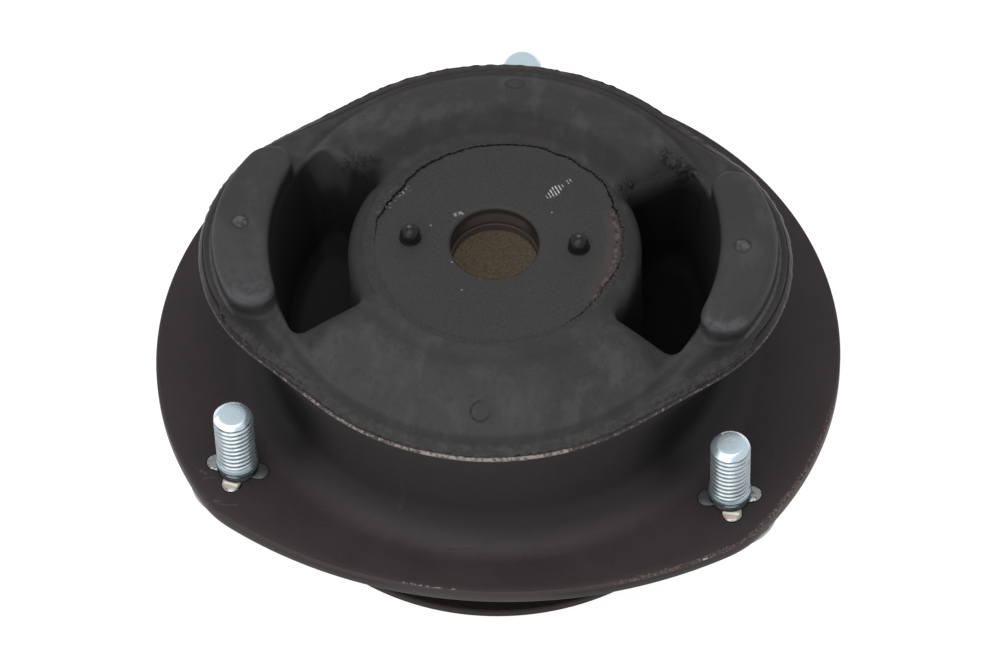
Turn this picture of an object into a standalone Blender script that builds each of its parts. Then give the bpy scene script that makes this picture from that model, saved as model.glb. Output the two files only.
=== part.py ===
# Upper strut mount for a passenger car: a drawn steel housing with three press-in studs, a moulded
# rubber body, and a steel core with a cup under it for the bump stop.
#
# World frame: metres, +Z up, the front of the mount towards -Y. The origin is under the middle of
# the flange's outline, on the plane that the cup's foot stands on. Every piece is built round the
# bore axis with heights counted from the flange's top face, and is parented to an empty there.

import math

import bpy
import bmesh
from mathutils import Vector

# Clearance between pieces that touch, and the smallest merge distance
SEAT_GAP = 0.0003
MERGE = 0.00005

# Core: plate, bore and pins
CORE_RADIUS = 0.0240
CORE_RISE = 0.0046              # top of the plate above the mouth
CORE_THICKNESS = 0.0046
BORE_RADIUS = 0.0085
BORE_CHAMFER = 0.0005
PIN_RADIUS = 0.00195
PIN_HEIGHT = 0.0031
PIN_DOME = 0.0011

# Housing: neck and flared mouth
RUBBER_WIDTH = 0.0208           # plate's edge out to the neck's outer face, where the flare begins
NECK_FILLET = 0.0080
RIM_HEIGHT = 0.0280             # flange top face to the edge of the mouth
RIM_FLARE = 0.0037              # the round front and back of the mouth stand this far past the neck
EAR_STANDOUT = 0.0090           # the two ears stand this much further out
EAR_TIP_RADIUS = 0.0343
RIM_THICKNESS = 0.0022          # the sheet thins as it is drawn

# Housing: flange outline
FLANGE_WIDTH = 0.0145           # flat of the flange, from the fillet to its mean radius
CORNER_RISE = 0.0002            # how far the outline stands out at the three studs
FRONT_FLAT = 0.0079             # the flattened front edge lies this far inside the mean radius
FRONT_ARC_RADIUS = 0.092        # the front edge is a shallow arc
FRONT_BLEND = 0.0010            # softness of the two front corners
FLANGE_THICKNESS = 0.0030
SHEET_EDGE_ROUND = 0.0005

# Cup under the core plate
CUP_SHEET = 0.0020
CUP_CORNER = 0.0030             # outer radius between the cup's top and wall
CUP_HOLE_STEP = 0.0006          # the cup's hole is this much larger than the bore
FOOT_WIDTH = 0.0238             # the foot stands this far out past the cup's wall
FOOT_FILLET = 0.0065
FOOT_DROP = 0.0250              # flange top face down to the underside of the foot

# Rubber body
SKIN = 0.0009                   # rubber over the steel at the mouth
CORE_LIP = 0.0004               # the rubber lies this far below the plate's top face
CROWN_INSET = 0.0039            # edge of the mouth in to the outer edge of a crown
CROWN_STEP = 0.0012             # height of that edge above the mouth
CREST_SETBACK = 0.0105          # plate's edge out to the crest of a crown
CREST_RISE = 0.0013             # crest above the plate's top face
CROWN_BULGE = 0.9               # below 1 a crown's outer side is rounder than a sine
SHELF_STEP = 0.0021             # level of the rubber beside the pads, above the mouth
BELLY_RISE = 0.0016             # how far the underside arches up from its outer edge
BELLY_DROP = 0.0085             # how far it runs down the cup's wall
CROWN_START = math.radians(30)  # from the ear's middle: where a crown begins to rise
CROWN_FULL = math.radians(42)   # and where it has its full height

# Voids between the core and the pads
VOID_WEB = 0.0040               # rubber between the plate's edge and a void
VOID_LINING = 0.0006            # rubber left on the neck's inside
VOID_WALL = 0.0018              # neck's outer face in to a void's outer side at its mouth
VOID_HALF_ANGLE = math.radians(33)
VOID_CORNER = 0.0045
VOID_MOUTH_ROUND = 0.0030
VOID_FLOOR = 0.0040             # a web of rubber closes each void at this height
VOID_FLOOR_ROUND = 0.0020

# Bumper pads on the ears
PAD_HEIGHT = 0.0055             # above the shelf
PAD_LEDGE = 0.0002              # void's outer side to the pad's inner side
PAD_INSET = 0.0031              # ear tip to the pad's outer edge
PAD_HALF_ANGLE = math.radians(24)
PAD_CORNER_SHARE = 0.44         # corner rounding as a share of the pad's width at its ends
PAD_EDGE_ROUND = 0.0022
PAD_DRAFT = 0.0004
PAD_ROOT = 0.0006               # how far a pad's block runs into the shelf under it

# Studs
STUD_EDGE = 0.0092              # the studs stand this far in from the flange's mean radius
STUD_SPREAD = math.radians(55.2)    # each front stud, measured from the front
STUD_HEIGHT = 0.0171
THREAD_RADIUS = 0.0039
TIP_CHAMFER = 0.0010            # length of the chamfer at the tip
TIP_TAPER = 0.0009              # and how far it goes in
COLLAR_RADIUS = 0.00415
COLLAR_LOW = 0.0017             # the collar begins at this height
COLLAR_WIDTH = 0.0014
UNDERCUT_RADIUS = 0.0033
LOBE_OFFSET = 0.0045            # stud axis to the middle of a lobe
LOBE_RADIUS = 0.0017
NECK_LOBE_RISE = 0.0003         # lobes stand this far above the flange
STUD_NECK_RADIUS = 0.0043
HEAD_RADIUS = 0.0091
HEAD_THICKNESS = 0.0030
HEAD_EDGE = 0.0006

# Mesh density, and the angle above which an edge is shaded sharp
RING_STEPS = 72
TURN_STEPS = 56
PIN_STEPS = 16
STUD_STEPS = 32
ARC_STEPS = 4
EDGE_STEPS = 7
CROWN_STEPS = 4
VALLEY_STEPS = 3
BELLY_STEPS = 4
SHARP_ANGLE = math.radians(35)

# Places that follow from the sizes above
NECK_RADIUS = CORE_RADIUS + RUBBER_WIDTH
FLANGE_RADIUS = NECK_RADIUS + NECK_FILLET + FLANGE_WIDTH
FRONT_REACH = FLANGE_RADIUS - FRONT_FLAT
REAR_REACH = FLANGE_RADIUS + CORNER_RISE
AXIS_Y = (FRONT_REACH - REAR_REACH) / 2
RIM_RADIUS = NECK_RADIUS + RIM_FLARE
EAR_CENTRE = RIM_RADIUS + EAR_STANDOUT - EAR_TIP_RADIUS
EAR_TANGENT = math.acos((RIM_RADIUS - EAR_TIP_RADIUS) / EAR_CENTRE)
EAR_TIP_END = math.atan2(EAR_TIP_RADIUS * math.sin(EAR_TANGENT),
                         EAR_CENTRE + EAR_TIP_RADIUS * math.cos(EAR_TANGENT))
PIN_OFFSET = (BORE_RADIUS + CORE_RADIUS) / 2
CORE_TOP = RIM_HEIGHT + CORE_RISE
CORE_BOTTOM = CORE_TOP - CORE_THICKNESS
CUP_TOP = CORE_BOTTOM - SEAT_GAP
RUBBER_BORE = CORE_RADIUS + SEAT_GAP
CROWN_RADIUS = RIM_RADIUS - CROWN_INSET
CROWN_FOOT = RIM_HEIGHT + CROWN_STEP
CREST_RADIUS = CORE_RADIUS + CREST_SETBACK
CREST_TOP = CORE_TOP + CREST_RISE
SHELF_HEIGHT = RIM_HEIGHT + SHELF_STEP
LIP_HEIGHT = CORE_TOP - CORE_LIP
VOID_INNER = CORE_RADIUS + VOID_WEB
VOID_OUTER_TOP = NECK_RADIUS - VOID_WALL
VOID_OUTER_LOW = NECK_RADIUS - FLANGE_THICKNESS - SEAT_GAP - VOID_LINING
PAD_INNER = VOID_OUTER_TOP + PAD_LEDGE
PAD_TOP = SHELF_HEIGHT + PAD_HEIGHT
STUD_CIRCLE = FLANGE_RADIUS - STUD_EDGE
LOBE_TURN = math.radians(45)    # lobes lie at this angle to the line from the bore axis
STUDS = {
    "stud_left": -math.pi / 2 - STUD_SPREAD,
    "stud_right": -math.pi / 2 + STUD_SPREAD,
    "stud_back": math.pi / 2,
}


def clear_scene():
    for obj in list(bpy.data.objects):
        bpy.data.objects.remove(obj, do_unlink=True)
    for mesh in list(bpy.data.meshes):
        bpy.data.meshes.remove(mesh)


def new_collection(name):
    collection = bpy.data.collections.new(name)
    bpy.context.scene.collection.children.link(collection)
    return collection


def make_material(name, color, roughness, metallic):
    material = bpy.data.materials.new(name)
    material.use_nodes = True
    shader = material.node_tree.nodes["Principled BSDF"]
    shader.inputs["Base Color"].default_value = (*color, 1.0)
    shader.inputs["Roughness"].default_value = roughness
    shader.inputs["Metallic"].default_value = metallic
    return material


def add_object(name, mesh, collection, parent=None, material=None):
    obj = bpy.data.objects.new(name, mesh)
    collection.objects.link(obj)
    obj.parent = parent
    if material is not None and not mesh.materials:
        mesh.materials.append(material)
    return obj


def smooth(mesh):
    mesh.shade_smooth()
    mesh.set_sharp_from_angle(angle=SHARP_ANGLE)


def smoothstep(low, high, value):
    t = min(max((value - low) / (high - low), 0.0), 1.0)
    return t * t * (3 - 2 * t)


def smooth_min(a, b, softness):
    h = max(softness - abs(a - b), 0.0) / softness
    return min(a, b) - h * h * softness / 4


def circle_reach(offset, radius, angle):
    """Distance from the origin to a circle centred at (offset, 0), along a direction."""
    return offset * math.cos(angle) + math.sqrt(radius ** 2 - (offset * math.sin(angle)) ** 2)


def fold(angle):
    """The same direction brought into the quarter between the ear and the back."""
    return abs(math.atan2(abs(math.sin(angle)), abs(math.cos(angle))))


def flange_outline(angle):
    """Radius of the flange's edge: round with three soft corners, flattened in front."""
    round_part = FLANGE_RADIUS + CORNER_RISE * math.cos(3 * (angle - math.pi / 2))
    arc_centre = FRONT_ARC_RADIUS - FRONT_REACH
    across = arc_centre * math.cos(angle)
    front_part = arc_centre * math.sin(angle) + math.sqrt(FRONT_ARC_RADIUS ** 2 - across ** 2)
    return smooth_min(round_part, front_part, FRONT_BLEND)


def rim_outline(angle):
    """Radius of the mouth: a circle, with straight tangents to a smaller arc at each ear."""
    turn = fold(angle)
    if turn >= EAR_TANGENT:
        return RIM_RADIUS
    if turn >= EAR_TIP_END:
        return RIM_RADIUS / math.cos(turn - EAR_TANGENT)
    return circle_reach(EAR_CENTRE, EAR_TIP_RADIUS, turn)


def fillet_point(turn, depth):
    """A point at a depth under the housing's outer face, in the fillet above the flange."""
    reach = NECK_FILLET + depth
    return (NECK_RADIUS + NECK_FILLET - reach * math.sin(turn), NECK_FILLET - reach * math.cos(turn))


def flare_shape(angle):
    """Radius and swept angle of the arc that leads from the neck to the mouth."""
    out = rim_outline(angle) - NECK_RADIUS
    up = RIM_HEIGHT - NECK_FILLET
    radius = (out * out + up * up) / (2 * out)
    return radius, math.asin(up / radius) if out <= up else math.pi - math.asin(up / radius)


def flare_point(angle, share, depth):
    """A point at a depth inside the flare's outer face, at a share of the way to the mouth."""
    radius, sweep = flare_shape(angle)
    turn = sweep * share
    reach = radius + depth
    return (NECK_RADIUS + radius - reach * math.cos(turn), NECK_FILLET + reach * math.sin(turn))


def wall_thickness(share):
    return between(FLANGE_THICKNESS, RIM_THICKNESS, share)


def steps(count):
    """Equal shares of a way, from 0 to 1."""
    return [i / count for i in range(count + 1)]


def between(start, end, share):
    return start + (end - start) * share


def loft_ring(name, section_at, count):
    """A closed ring: section_at(angle) gives the closed section as (radius, height) points."""
    bm = bmesh.new()
    rows = []
    for i in range(count):
        angle = 2 * math.pi * i / count - math.pi / 2
        row = [bm.verts.new((r * math.cos(angle), r * math.sin(angle), z))
               for r, z in section_at(angle)]
        rows.append(row)
    for i, row in enumerate(rows):
        following = rows[(i + 1) % count]
        for j in range(len(row)):
            k = (j + 1) % len(row)
            bm.faces.new((row[j], row[k], following[k], following[j]))
    # twisted quads of facing walls are split the same way, so that their clearance stays even
    bmesh.ops.triangulate(bm, faces=bm.faces, quad_method="SHORT_EDGE")
    bmesh.ops.recalc_face_normals(bm, faces=bm.faces)
    mesh = bpy.data.meshes.new(name)
    bm.to_mesh(mesh)
    bm.free()
    return mesh


def loft_stack(name, outlines):
    """A closed solid through closed outlines of equal point count, one above the other."""
    bm = bmesh.new()
    rows = [[bm.verts.new(point) for point in outline] for outline in outlines]
    for low, high in zip(rows, rows[1:]):
        for j in range(len(low)):
            k = (j + 1) % len(low)
            bm.faces.new((low[j], low[k], high[k], high[j]))
    bm.faces.new(rows[0])
    bm.faces.new(rows[-1])
    bmesh.ops.recalc_face_normals(bm, faces=bm.faces)
    mesh = bpy.data.meshes.new(name)
    bm.to_mesh(mesh)
    bm.free()
    return mesh


def turned_mesh(name, profile, count, closed=False):
    """A turned solid: the profile at +X runs down its outer side and is spun by a Screw modifier."""
    bm = bmesh.new()
    verts = [bm.verts.new((r, 0.0, z)) for r, z in profile]
    for a, b in zip(verts, verts[1:]):
        bm.edges.new((a, b))
    if closed:
        bm.edges.new((verts[-1], verts[0]))
    outline = bpy.data.meshes.new(name + "_profile")
    bm.to_mesh(outline)
    bm.free()
    spinner = bpy.data.objects.new(name + "_spinner", outline)
    bpy.context.scene.collection.objects.link(spinner)
    screw = spinner.modifiers.new("turn", "SCREW")
    screw.steps = count
    screw.render_steps = count
    screw.use_merge_vertices = True
    screw.merge_threshold = MERGE
    mesh = evaluated_mesh(spinner, name)
    bpy.data.objects.remove(spinner, do_unlink=True)
    return mesh


def evaluated_mesh(obj, name):
    graph = bpy.context.evaluated_depsgraph_get()
    graph.update()
    mesh = bpy.data.meshes.new_from_object(obj.evaluated_get(graph))
    mesh.name = name
    return mesh


def boolean(obj, cutter, operation):
    modifier = obj.modifiers.new(operation.lower() + "_" + cutter.name, "BOOLEAN")
    modifier.operation = operation
    modifier.object = cutter
    modifier.solver = "EXACT"


def guide(obj):
    obj.hide_render = True
    obj.display_type = "WIRE"
    return obj


def bent_pad(inner, outer_at, half_angle, corner, inset, height, sign):
    """A rounded rectangle bent round the bore axis, shrunk by an inset, at one height."""
    middle = (inner + outer_at(0.0)) / 2
    straight = middle * half_angle - corner     # half length of the edges between the corners
    rounding = corner - inset
    outline = []
    corners = ((True, 1), (False, 1), (False, -1), (True, -1))
    for quarter, (on_outer, end) in enumerate(corners):
        for share in steps(ARC_STEPS - 1):
            turn = math.pi / 2 * (quarter + share)
            setback = inset + rounding * (1 - abs(math.cos(turn)))
            angle = (end * straight + rounding * math.sin(turn)) / middle
            outline.append((on_outer, setback, angle))
        if quarter in (1, 3):
            for share in steps(EDGE_STEPS)[1:-1]:
                outline.append((on_outer, inset, end * straight * (1 - 2 * share) / middle))
    points = []
    for on_outer, setback, angle in outline:
        radius = outer_at(angle) - setback if on_outer else inner + setback
        points.append(Vector((sign * radius * math.cos(angle), radius * math.sin(angle), height)))
    return points


def clover(angle_offset, core, lobe, height, count):
    """A circle with four smaller circles round it, as one outline."""
    outline = []
    for i in range(count):
        a = 2 * math.pi * i / count
        reach = core
        for quarter in range(4):
            off = (a - angle_offset - quarter * math.pi / 2 + math.pi) % (2 * math.pi) - math.pi
            side = LOBE_OFFSET * math.sin(off)
            if abs(side) < lobe and math.cos(off) > 0:
                reach = max(reach, LOBE_OFFSET * math.cos(off) + math.sqrt(lobe ** 2 - side ** 2))
        outline.append(Vector((reach * math.cos(a), reach * math.sin(a), height)))
    return outline


def disc(radius, height, count):
    return [Vector((radius * math.cos(2 * math.pi * i / count),
                    radius * math.sin(2 * math.pi * i / count), height)) for i in range(count)]


def housing_section(angle):
    """Closed section through the housing's wall, from the flange's edge to the mouth and back."""
    edge = flange_outline(angle)
    soft = SHEET_EDGE_ROUND
    outer = [(edge, -soft), (edge - soft, 0.0)]
    inner = [(edge, soft - FLANGE_THICKNESS), (edge - soft, -FLANGE_THICKNESS)]
    for share in steps(ARC_STEPS):
        turn = share * math.pi / 2
        outer.append(fillet_point(turn, 0.0))
        inner.append(fillet_point(turn, FLANGE_THICKNESS))
    for share in steps(ARC_STEPS)[1:]:
        outer.append(flare_point(angle, share, 0.0))
        inner.append(flare_point(angle, share, wall_thickness(share)))
    return outer + inner[::-1]


def rubber_outer(angle):
    """The rubber's outer side, from under the fillet up the wall to the edge of the mouth."""
    side = [fillet_point(share * math.pi / 2, FLANGE_THICKNESS + SEAT_GAP)
            for share in steps(ARC_STEPS)[ARC_STEPS // 2:-1]]
    for share in steps(ARC_STEPS):
        side.append(flare_point(angle, share, wall_thickness(share) + SEAT_GAP))
    return side


def rubber_top(angle):
    """The rubber's upper side, from the edge of the mouth in to the core plate."""
    crown = smoothstep(CROWN_START, CROWN_FULL, fold(angle))
    edge_radius, edge_height = flare_point(angle, 1.0, RIM_THICKNESS + SEAT_GAP + SKIN)
    foot = min(CROWN_RADIUS, edge_radius - SKIN / 2)
    foot_height = between(SHELF_HEIGHT, CROWN_FOOT, crown)
    top = [(edge_radius, edge_height)]
    top.append((between(edge_radius, foot, 0.5), between(edge_height, foot_height, 0.5)))
    top.append((foot, foot_height))

    def add(radius, height):
        level = between(SHELF_HEIGHT, LIP_HEIGHT, (foot - radius) / (foot - RUBBER_BORE))
        top.append((radius, between(level, height, crown)))

    # a crown rises in a quarter wave to its crest and sinks in a shallower one to the plate
    for share in steps(CROWN_STEPS)[1:]:
        bulge = math.sin(share * math.pi / 2) ** CROWN_BULGE
        add(between(foot, CREST_RADIUS, share), between(CROWN_FOOT, CREST_TOP, bulge))
    for share in steps(VALLEY_STEPS)[1:]:
        sink = math.sin(share * math.pi / 2) ** 2
        add(between(CREST_RADIUS, RUBBER_BORE, share), between(CREST_TOP, LIP_HEIGHT, sink))
    return top


def rubber_belly():
    """The rubber's underside, arched between the cup's wall and the housing."""
    outer_radius, outer_height = rubber_outer(0.0)[0]
    belly = []
    for share in steps(BELLY_STEPS)[:-1]:
        arch = BELLY_RISE * math.sin(math.pi * share) - BELLY_DROP * (1 - share) ** 2
        belly.append((between(RUBBER_BORE, outer_radius, share), outer_height + arch))
    return belly


def rubber_section(angle):
    return rubber_outer(angle) + rubber_top(angle) + rubber_belly()


def build_housing(collection, cutters, root):
    mesh = loft_ring("outer_housing", housing_section, RING_STEPS)
    steel = make_material("housing_coat", (0.035, 0.030, 0.030), 0.45, 0.0)
    housing = add_object("outer_housing", mesh, collection, root, steel)
    for name, angle in STUDS.items():
        low = clover(LOBE_TURN, STUD_NECK_RADIUS + SEAT_GAP, LOBE_RADIUS + SEAT_GAP,
                     -2 * FLANGE_THICKNESS, STUD_STEPS)
        high = [point + Vector((0, 0, 3 * FLANGE_THICKNESS)) for point in low]
        cutter = guide(add_object(name + "_hole", loft_stack(name + "_hole", [low, high]),
                                  cutters, root))
        place_on_circle(cutter, angle)
        boolean(housing, cutter, "DIFFERENCE")
    smooth(mesh)
    return housing


def place_on_circle(obj, angle):
    obj.location = (STUD_CIRCLE * math.cos(angle), STUD_CIRCLE * math.sin(angle), 0.0)
    obj.rotation_euler = (0.0, 0.0, angle)


def build_rubber(collection, cutters, root):
    mesh = loft_ring("rubber_body", rubber_section, RING_STEPS)
    rubber = add_object("rubber_body", mesh, collection, root,
                        make_material("moulded_rubber", (0.045, 0.047, 0.05), 0.6, 0.0))
    for side, sign in (("left", -1), ("right", 1)):
        pad = guide(add_object("pad_" + side, pad_mesh(sign), cutters, root))
        boolean(rubber, pad, "UNION")
    for side, sign in (("left", -1), ("right", 1)):
        void = guide(add_object("void_" + side, void_mesh(sign), cutters, root))
        boolean(rubber, void, "DIFFERENCE")
    smooth(mesh)
    return rubber


def pad_mesh(sign):
    """Bumper pad: a bean-shaped block with draft and a rounded top edge."""
    def outer_at(angle):
        return circle_reach(EAR_CENTRE, EAR_TIP_RADIUS - PAD_INSET, angle)

    corner = PAD_CORNER_SHARE * (outer_at(PAD_HALF_ANGLE) - PAD_INNER)
    base = SHELF_HEIGHT - PAD_ROOT
    shoulder = PAD_TOP - PAD_EDGE_ROUND
    layers = [(base, -PAD_DRAFT)]
    for share in steps(ARC_STEPS - 1):
        turn = share * math.pi / 2
        layers.append((shoulder + PAD_EDGE_ROUND * math.sin(turn),
                       PAD_EDGE_ROUND * (1 - math.cos(turn))))
    outlines = [bent_pad(PAD_INNER, outer_at, PAD_HALF_ANGLE, corner, inset, height, sign)
                for height, inset in layers]
    return loft_stack("pad", outlines)


def void_mesh(sign):
    """Cutter for a void: drafted, with a rounded mouth on the core side and at both ends."""
    layers = []
    for share in steps(ARC_STEPS - 1):
        turn = share * math.pi / 2
        inset = VOID_FLOOR_ROUND * (1 - math.sin(turn))
        layers.append((VOID_FLOOR + VOID_FLOOR_ROUND * (1 - math.cos(turn)), -inset,
                       VOID_OUTER_LOW - inset))
    layers.append((NECK_FILLET, 0.0, VOID_OUTER_LOW))
    low = CORE_TOP - VOID_MOUTH_ROUND
    for share in steps(ARC_STEPS - 1):
        turn = share * math.pi / 2
        layers.append((low + VOID_MOUTH_ROUND * math.sin(turn),
                       VOID_MOUTH_ROUND * (1 - math.cos(turn)), VOID_OUTER_TOP))
    layers.append((max(PAD_TOP, CREST_TOP) + VOID_MOUTH_ROUND, VOID_MOUTH_ROUND, VOID_OUTER_TOP))
    outlines = []
    for height, spread, outer in layers:
        outlines.append(bent_pad(VOID_INNER - spread, lambda angle, outer=outer: outer,
                                 VOID_HALF_ANGLE + spread / VOID_INNER, VOID_CORNER, 0.0,
                                 height, sign))
    return loft_stack("void", outlines)


def build_core(collection, cutters, root):
    soft = BORE_CHAMFER / 2
    profile = [
        (BORE_RADIUS + BORE_CHAMFER, CORE_TOP), (CORE_RADIUS - soft, CORE_TOP),
        (CORE_RADIUS, CORE_TOP - soft), (CORE_RADIUS, CORE_BOTTOM),
        (BORE_RADIUS, CORE_BOTTOM), (BORE_RADIUS, CORE_TOP - BORE_CHAMFER),
    ]
    mesh = turned_mesh("core_plate", profile, TURN_STEPS, closed=True)
    plate = add_object("core_plate", mesh, collection, root,
                       make_material("core_phosphate", (0.06, 0.06, 0.062), 0.6, 0.2))
    pin_bottom = CORE_BOTTOM + SEAT_GAP
    pin_top = CORE_TOP + PIN_HEIGHT
    steel = make_material("pin_steel", (0.05, 0.05, 0.052), 0.4, 0.3)
    dome = [(PIN_RADIUS * math.sin(share * math.pi / 2),
             pin_top - PIN_DOME * (1 - math.cos(share * math.pi / 2))) for share in steps(3)]
    pin_mesh = turned_mesh("locating_pin", dome + [(PIN_RADIUS, pin_bottom), (0.0, pin_bottom)],
                           PIN_STEPS)
    smooth(pin_mesh)
    for side, sign in (("left", -1), ("right", 1)):
        pin = add_object("locating_pin_" + side, pin_mesh, collection, root, steel)
        pin.location = (sign * PIN_OFFSET, 0.0, 0.0)
        hole = [disc(PIN_RADIUS + SEAT_GAP, z, PIN_STEPS)
                for z in (CORE_BOTTOM - CORE_THICKNESS, CORE_TOP + CORE_THICKNESS)]
        cutter = guide(add_object("pin_hole_" + side, loft_stack("pin_hole", hole), cutters, root))
        cutter.location = pin.location
        boolean(plate, cutter, "DIFFERENCE")
    smooth(mesh)
    return plate


def build_cup(collection, root):
    """Drawn cup: holed top, straight wall, and a flat foot that flares out at the bottom."""
    foot_top = CUP_SHEET - FOOT_DROP
    foot_radius = CORE_RADIUS + FOOT_WIDTH
    hole = BORE_RADIUS + CUP_HOLE_STEP
    outer = [(hole, CUP_TOP)]
    inner = [(hole, CUP_TOP - CUP_SHEET)]
    for share in steps(ARC_STEPS - 1):
        turn = share * math.pi / 2
        centre = (CORE_RADIUS - CUP_CORNER, CUP_TOP - CUP_CORNER)
        for side, reach in ((outer, CUP_CORNER), (inner, CUP_CORNER - CUP_SHEET)):
            side.append((centre[0] + reach * math.sin(turn), centre[1] + reach * math.cos(turn)))
    for share in steps(ARC_STEPS):
        turn = share * math.pi / 2
        centre = (CORE_RADIUS + FOOT_FILLET, foot_top + FOOT_FILLET)
        for side, reach in ((outer, FOOT_FILLET), (inner, FOOT_FILLET + CUP_SHEET)):
            side.append((centre[0] - reach * math.cos(turn), centre[1] - reach * math.sin(turn)))
    soft = SHEET_EDGE_ROUND
    outer += [(foot_radius - soft, foot_top), (foot_radius, foot_top - soft)]
    inner += [(foot_radius - soft, -FOOT_DROP), (foot_radius, soft - FOOT_DROP)]
    mesh = turned_mesh("bump_stop_cup", outer + inner[::-1], TURN_STEPS, closed=True)
    smooth(mesh)
    return add_object("bump_stop_cup", mesh, collection, root,
                      make_material("cup_primer", (0.09, 0.075, 0.055), 0.6, 0.1))


def build_studs(collection, root):
    """Press-in studs: round head, four-lobed neck, undercut, collar and chamfered shank."""
    under = -FLANGE_THICKNESS - SEAT_GAP
    collar_top = COLLAR_LOW + COLLAR_WIDTH
    layers = [
        disc(HEAD_RADIUS - HEAD_EDGE, under - HEAD_THICKNESS, STUD_STEPS),
        disc(HEAD_RADIUS, under - HEAD_THICKNESS + HEAD_EDGE, STUD_STEPS),
        disc(HEAD_RADIUS, under, STUD_STEPS),
        clover(LOBE_TURN, STUD_NECK_RADIUS, LOBE_RADIUS, under, STUD_STEPS),
        clover(LOBE_TURN, STUD_NECK_RADIUS, LOBE_RADIUS, NECK_LOBE_RISE, STUD_STEPS),
        disc(UNDERCUT_RADIUS, NECK_LOBE_RISE, STUD_STEPS),
        disc(UNDERCUT_RADIUS, (NECK_LOBE_RISE + COLLAR_LOW) / 2, STUD_STEPS),
        disc(COLLAR_RADIUS, COLLAR_LOW, STUD_STEPS),
        disc(COLLAR_RADIUS, collar_top, STUD_STEPS),
        disc(THREAD_RADIUS, collar_top + COLLAR_RADIUS - THREAD_RADIUS, STUD_STEPS),
        disc(THREAD_RADIUS, STUD_HEIGHT - TIP_CHAMFER, STUD_STEPS),
        disc(THREAD_RADIUS - TIP_TAPER, STUD_HEIGHT, STUD_STEPS),
    ]
    mesh = loft_stack("stud", layers)
    smooth(mesh)
    zinc = make_material("zinc_plate", (0.62, 0.68, 0.72), 0.3, 1.0)
    for name, angle in STUDS.items():
        place_on_circle(add_object(name, mesh, collection, root, zinc), angle)


def build():
    clear_scene()
    collection = new_collection("strut_mount")
    cutters = new_collection("strut_mount_cutters")
    root = bpy.data.objects.new("bore_axis", None)
    collection.objects.link(root)
    root.location = (0.0, AXIS_Y, FOOT_DROP)
    build_housing(collection, cutters, root)
    build_rubber(collection, cutters, root)
    build_core(collection, cutters, root)
    build_cup(collection, root)
    build_studs(collection, root)


build()
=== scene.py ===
import math

import bmesh
import bpy
import numpy as np
from mathutils import Euler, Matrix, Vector, noise


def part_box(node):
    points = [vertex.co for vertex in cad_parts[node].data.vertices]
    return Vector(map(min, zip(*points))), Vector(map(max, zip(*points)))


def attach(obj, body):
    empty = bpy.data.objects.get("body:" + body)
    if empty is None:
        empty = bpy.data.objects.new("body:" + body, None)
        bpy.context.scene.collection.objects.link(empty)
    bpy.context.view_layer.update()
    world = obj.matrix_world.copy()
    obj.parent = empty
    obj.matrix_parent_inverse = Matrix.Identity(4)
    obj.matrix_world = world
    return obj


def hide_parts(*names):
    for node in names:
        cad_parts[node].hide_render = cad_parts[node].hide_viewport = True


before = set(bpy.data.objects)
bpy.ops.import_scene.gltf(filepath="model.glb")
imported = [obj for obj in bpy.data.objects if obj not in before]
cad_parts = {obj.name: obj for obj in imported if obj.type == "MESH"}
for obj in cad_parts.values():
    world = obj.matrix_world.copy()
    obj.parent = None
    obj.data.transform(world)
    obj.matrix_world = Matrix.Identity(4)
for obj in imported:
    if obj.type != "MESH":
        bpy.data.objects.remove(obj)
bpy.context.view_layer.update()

# Upper strut mount. Shapes are worked out in millimetres round the bore axis, with heights from the
# flange's top face, and go to metres in the row frame when a mesh is made.

mm = 0.001
quarter = math.pi / 2

housing = {
    "sheet": 3.0,
    "edgeRound": 0.55,
    "flangeRadius": 67.28,
    "cornerRise": 0.2,           # the outline stands out a little at the studs
    "frontReach": 59.38,
    "frontArc": 92.0,
    "frontBlend": 1.0,
    "neck": 44.8,
    "fillet": 8.0,
    "rimHeight": 28.0,
    "rimFlare": 3.7,
    "earStandout": 9.0,
    "earTip": 34.3,
    "rimSheet": 2.2,
    "rimRound": 0.4,
    "burr": 0.2,                 # how far the trimmed edge of the mouth is torn
    "steps": 480,
}

plateLow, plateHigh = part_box("core_plate")
housingLow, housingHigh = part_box("outer_housing")
cupLow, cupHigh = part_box("bump_stop_cup")
axisX = (plateLow.x + plateHigh.x) / 2
axisY = (plateLow.y + plateHigh.y) / 2
flangeTop = housingLow.z + housing["sheet"] * mm


def fromTop(height):                 # a height of the row frame, in mm from the flange's top face
    return (height - flangeTop) / mm


plate = {
    "radius": (plateHigh.x - plateLow.x) / 2 / mm,
    "top": fromTop(plateHigh.z),
    "bottom": fromTop(plateLow.z),
    "bore": 8.5,
    "chamfer": 0.55,
    "rimRound": 0.25,
    "steps": 160,
}

cup = {
    "top": fromTop(cupHigh.z),
    "foot": fromTop(cupLow.z),
    "footRadius": (cupHigh.x - cupLow.x) / 2 / mm,
    "sheet": 2.0,
    "corner": 3.0,
    "hole": 8.25,                # its edge shows as a dark ring inside the bore
    "fillet": 6.5,
    "steps": 160,
}

rimRadius = housing["neck"] + housing["rimFlare"]
earCentre = rimRadius + housing["earStandout"] - housing["earTip"]
rise = housing["rimHeight"] - housing["fillet"]


def smoothStep(low, high, value):
    t = np.clip((value - low) / (high - low), 0, 1)
    return t * t * (3 - 2 * t)


def between(start, end, share):
    return start + (end - start) * share


def softMin(a, b, softness):
    h = np.maximum(softness - np.abs(a - b), 0) / softness
    return np.minimum(a, b) - h * h * softness / 4


def softMax(a, b, softness):
    return -softMin(-a, -b, softness)


# Outlines

def flangeOutline(angle):            # round with three soft corners, flattened in front
    roundPart = housing["flangeRadius"] + housing["cornerRise"] * np.cos(3 * (angle - quarter))
    centre = housing["frontArc"] - housing["frontReach"]
    across = centre * np.cos(angle)
    frontPart = centre * np.sin(angle) + np.sqrt(housing["frontArc"] ** 2 - across ** 2)
    return softMin(roundPart, frontPart, housing["frontBlend"])


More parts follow.
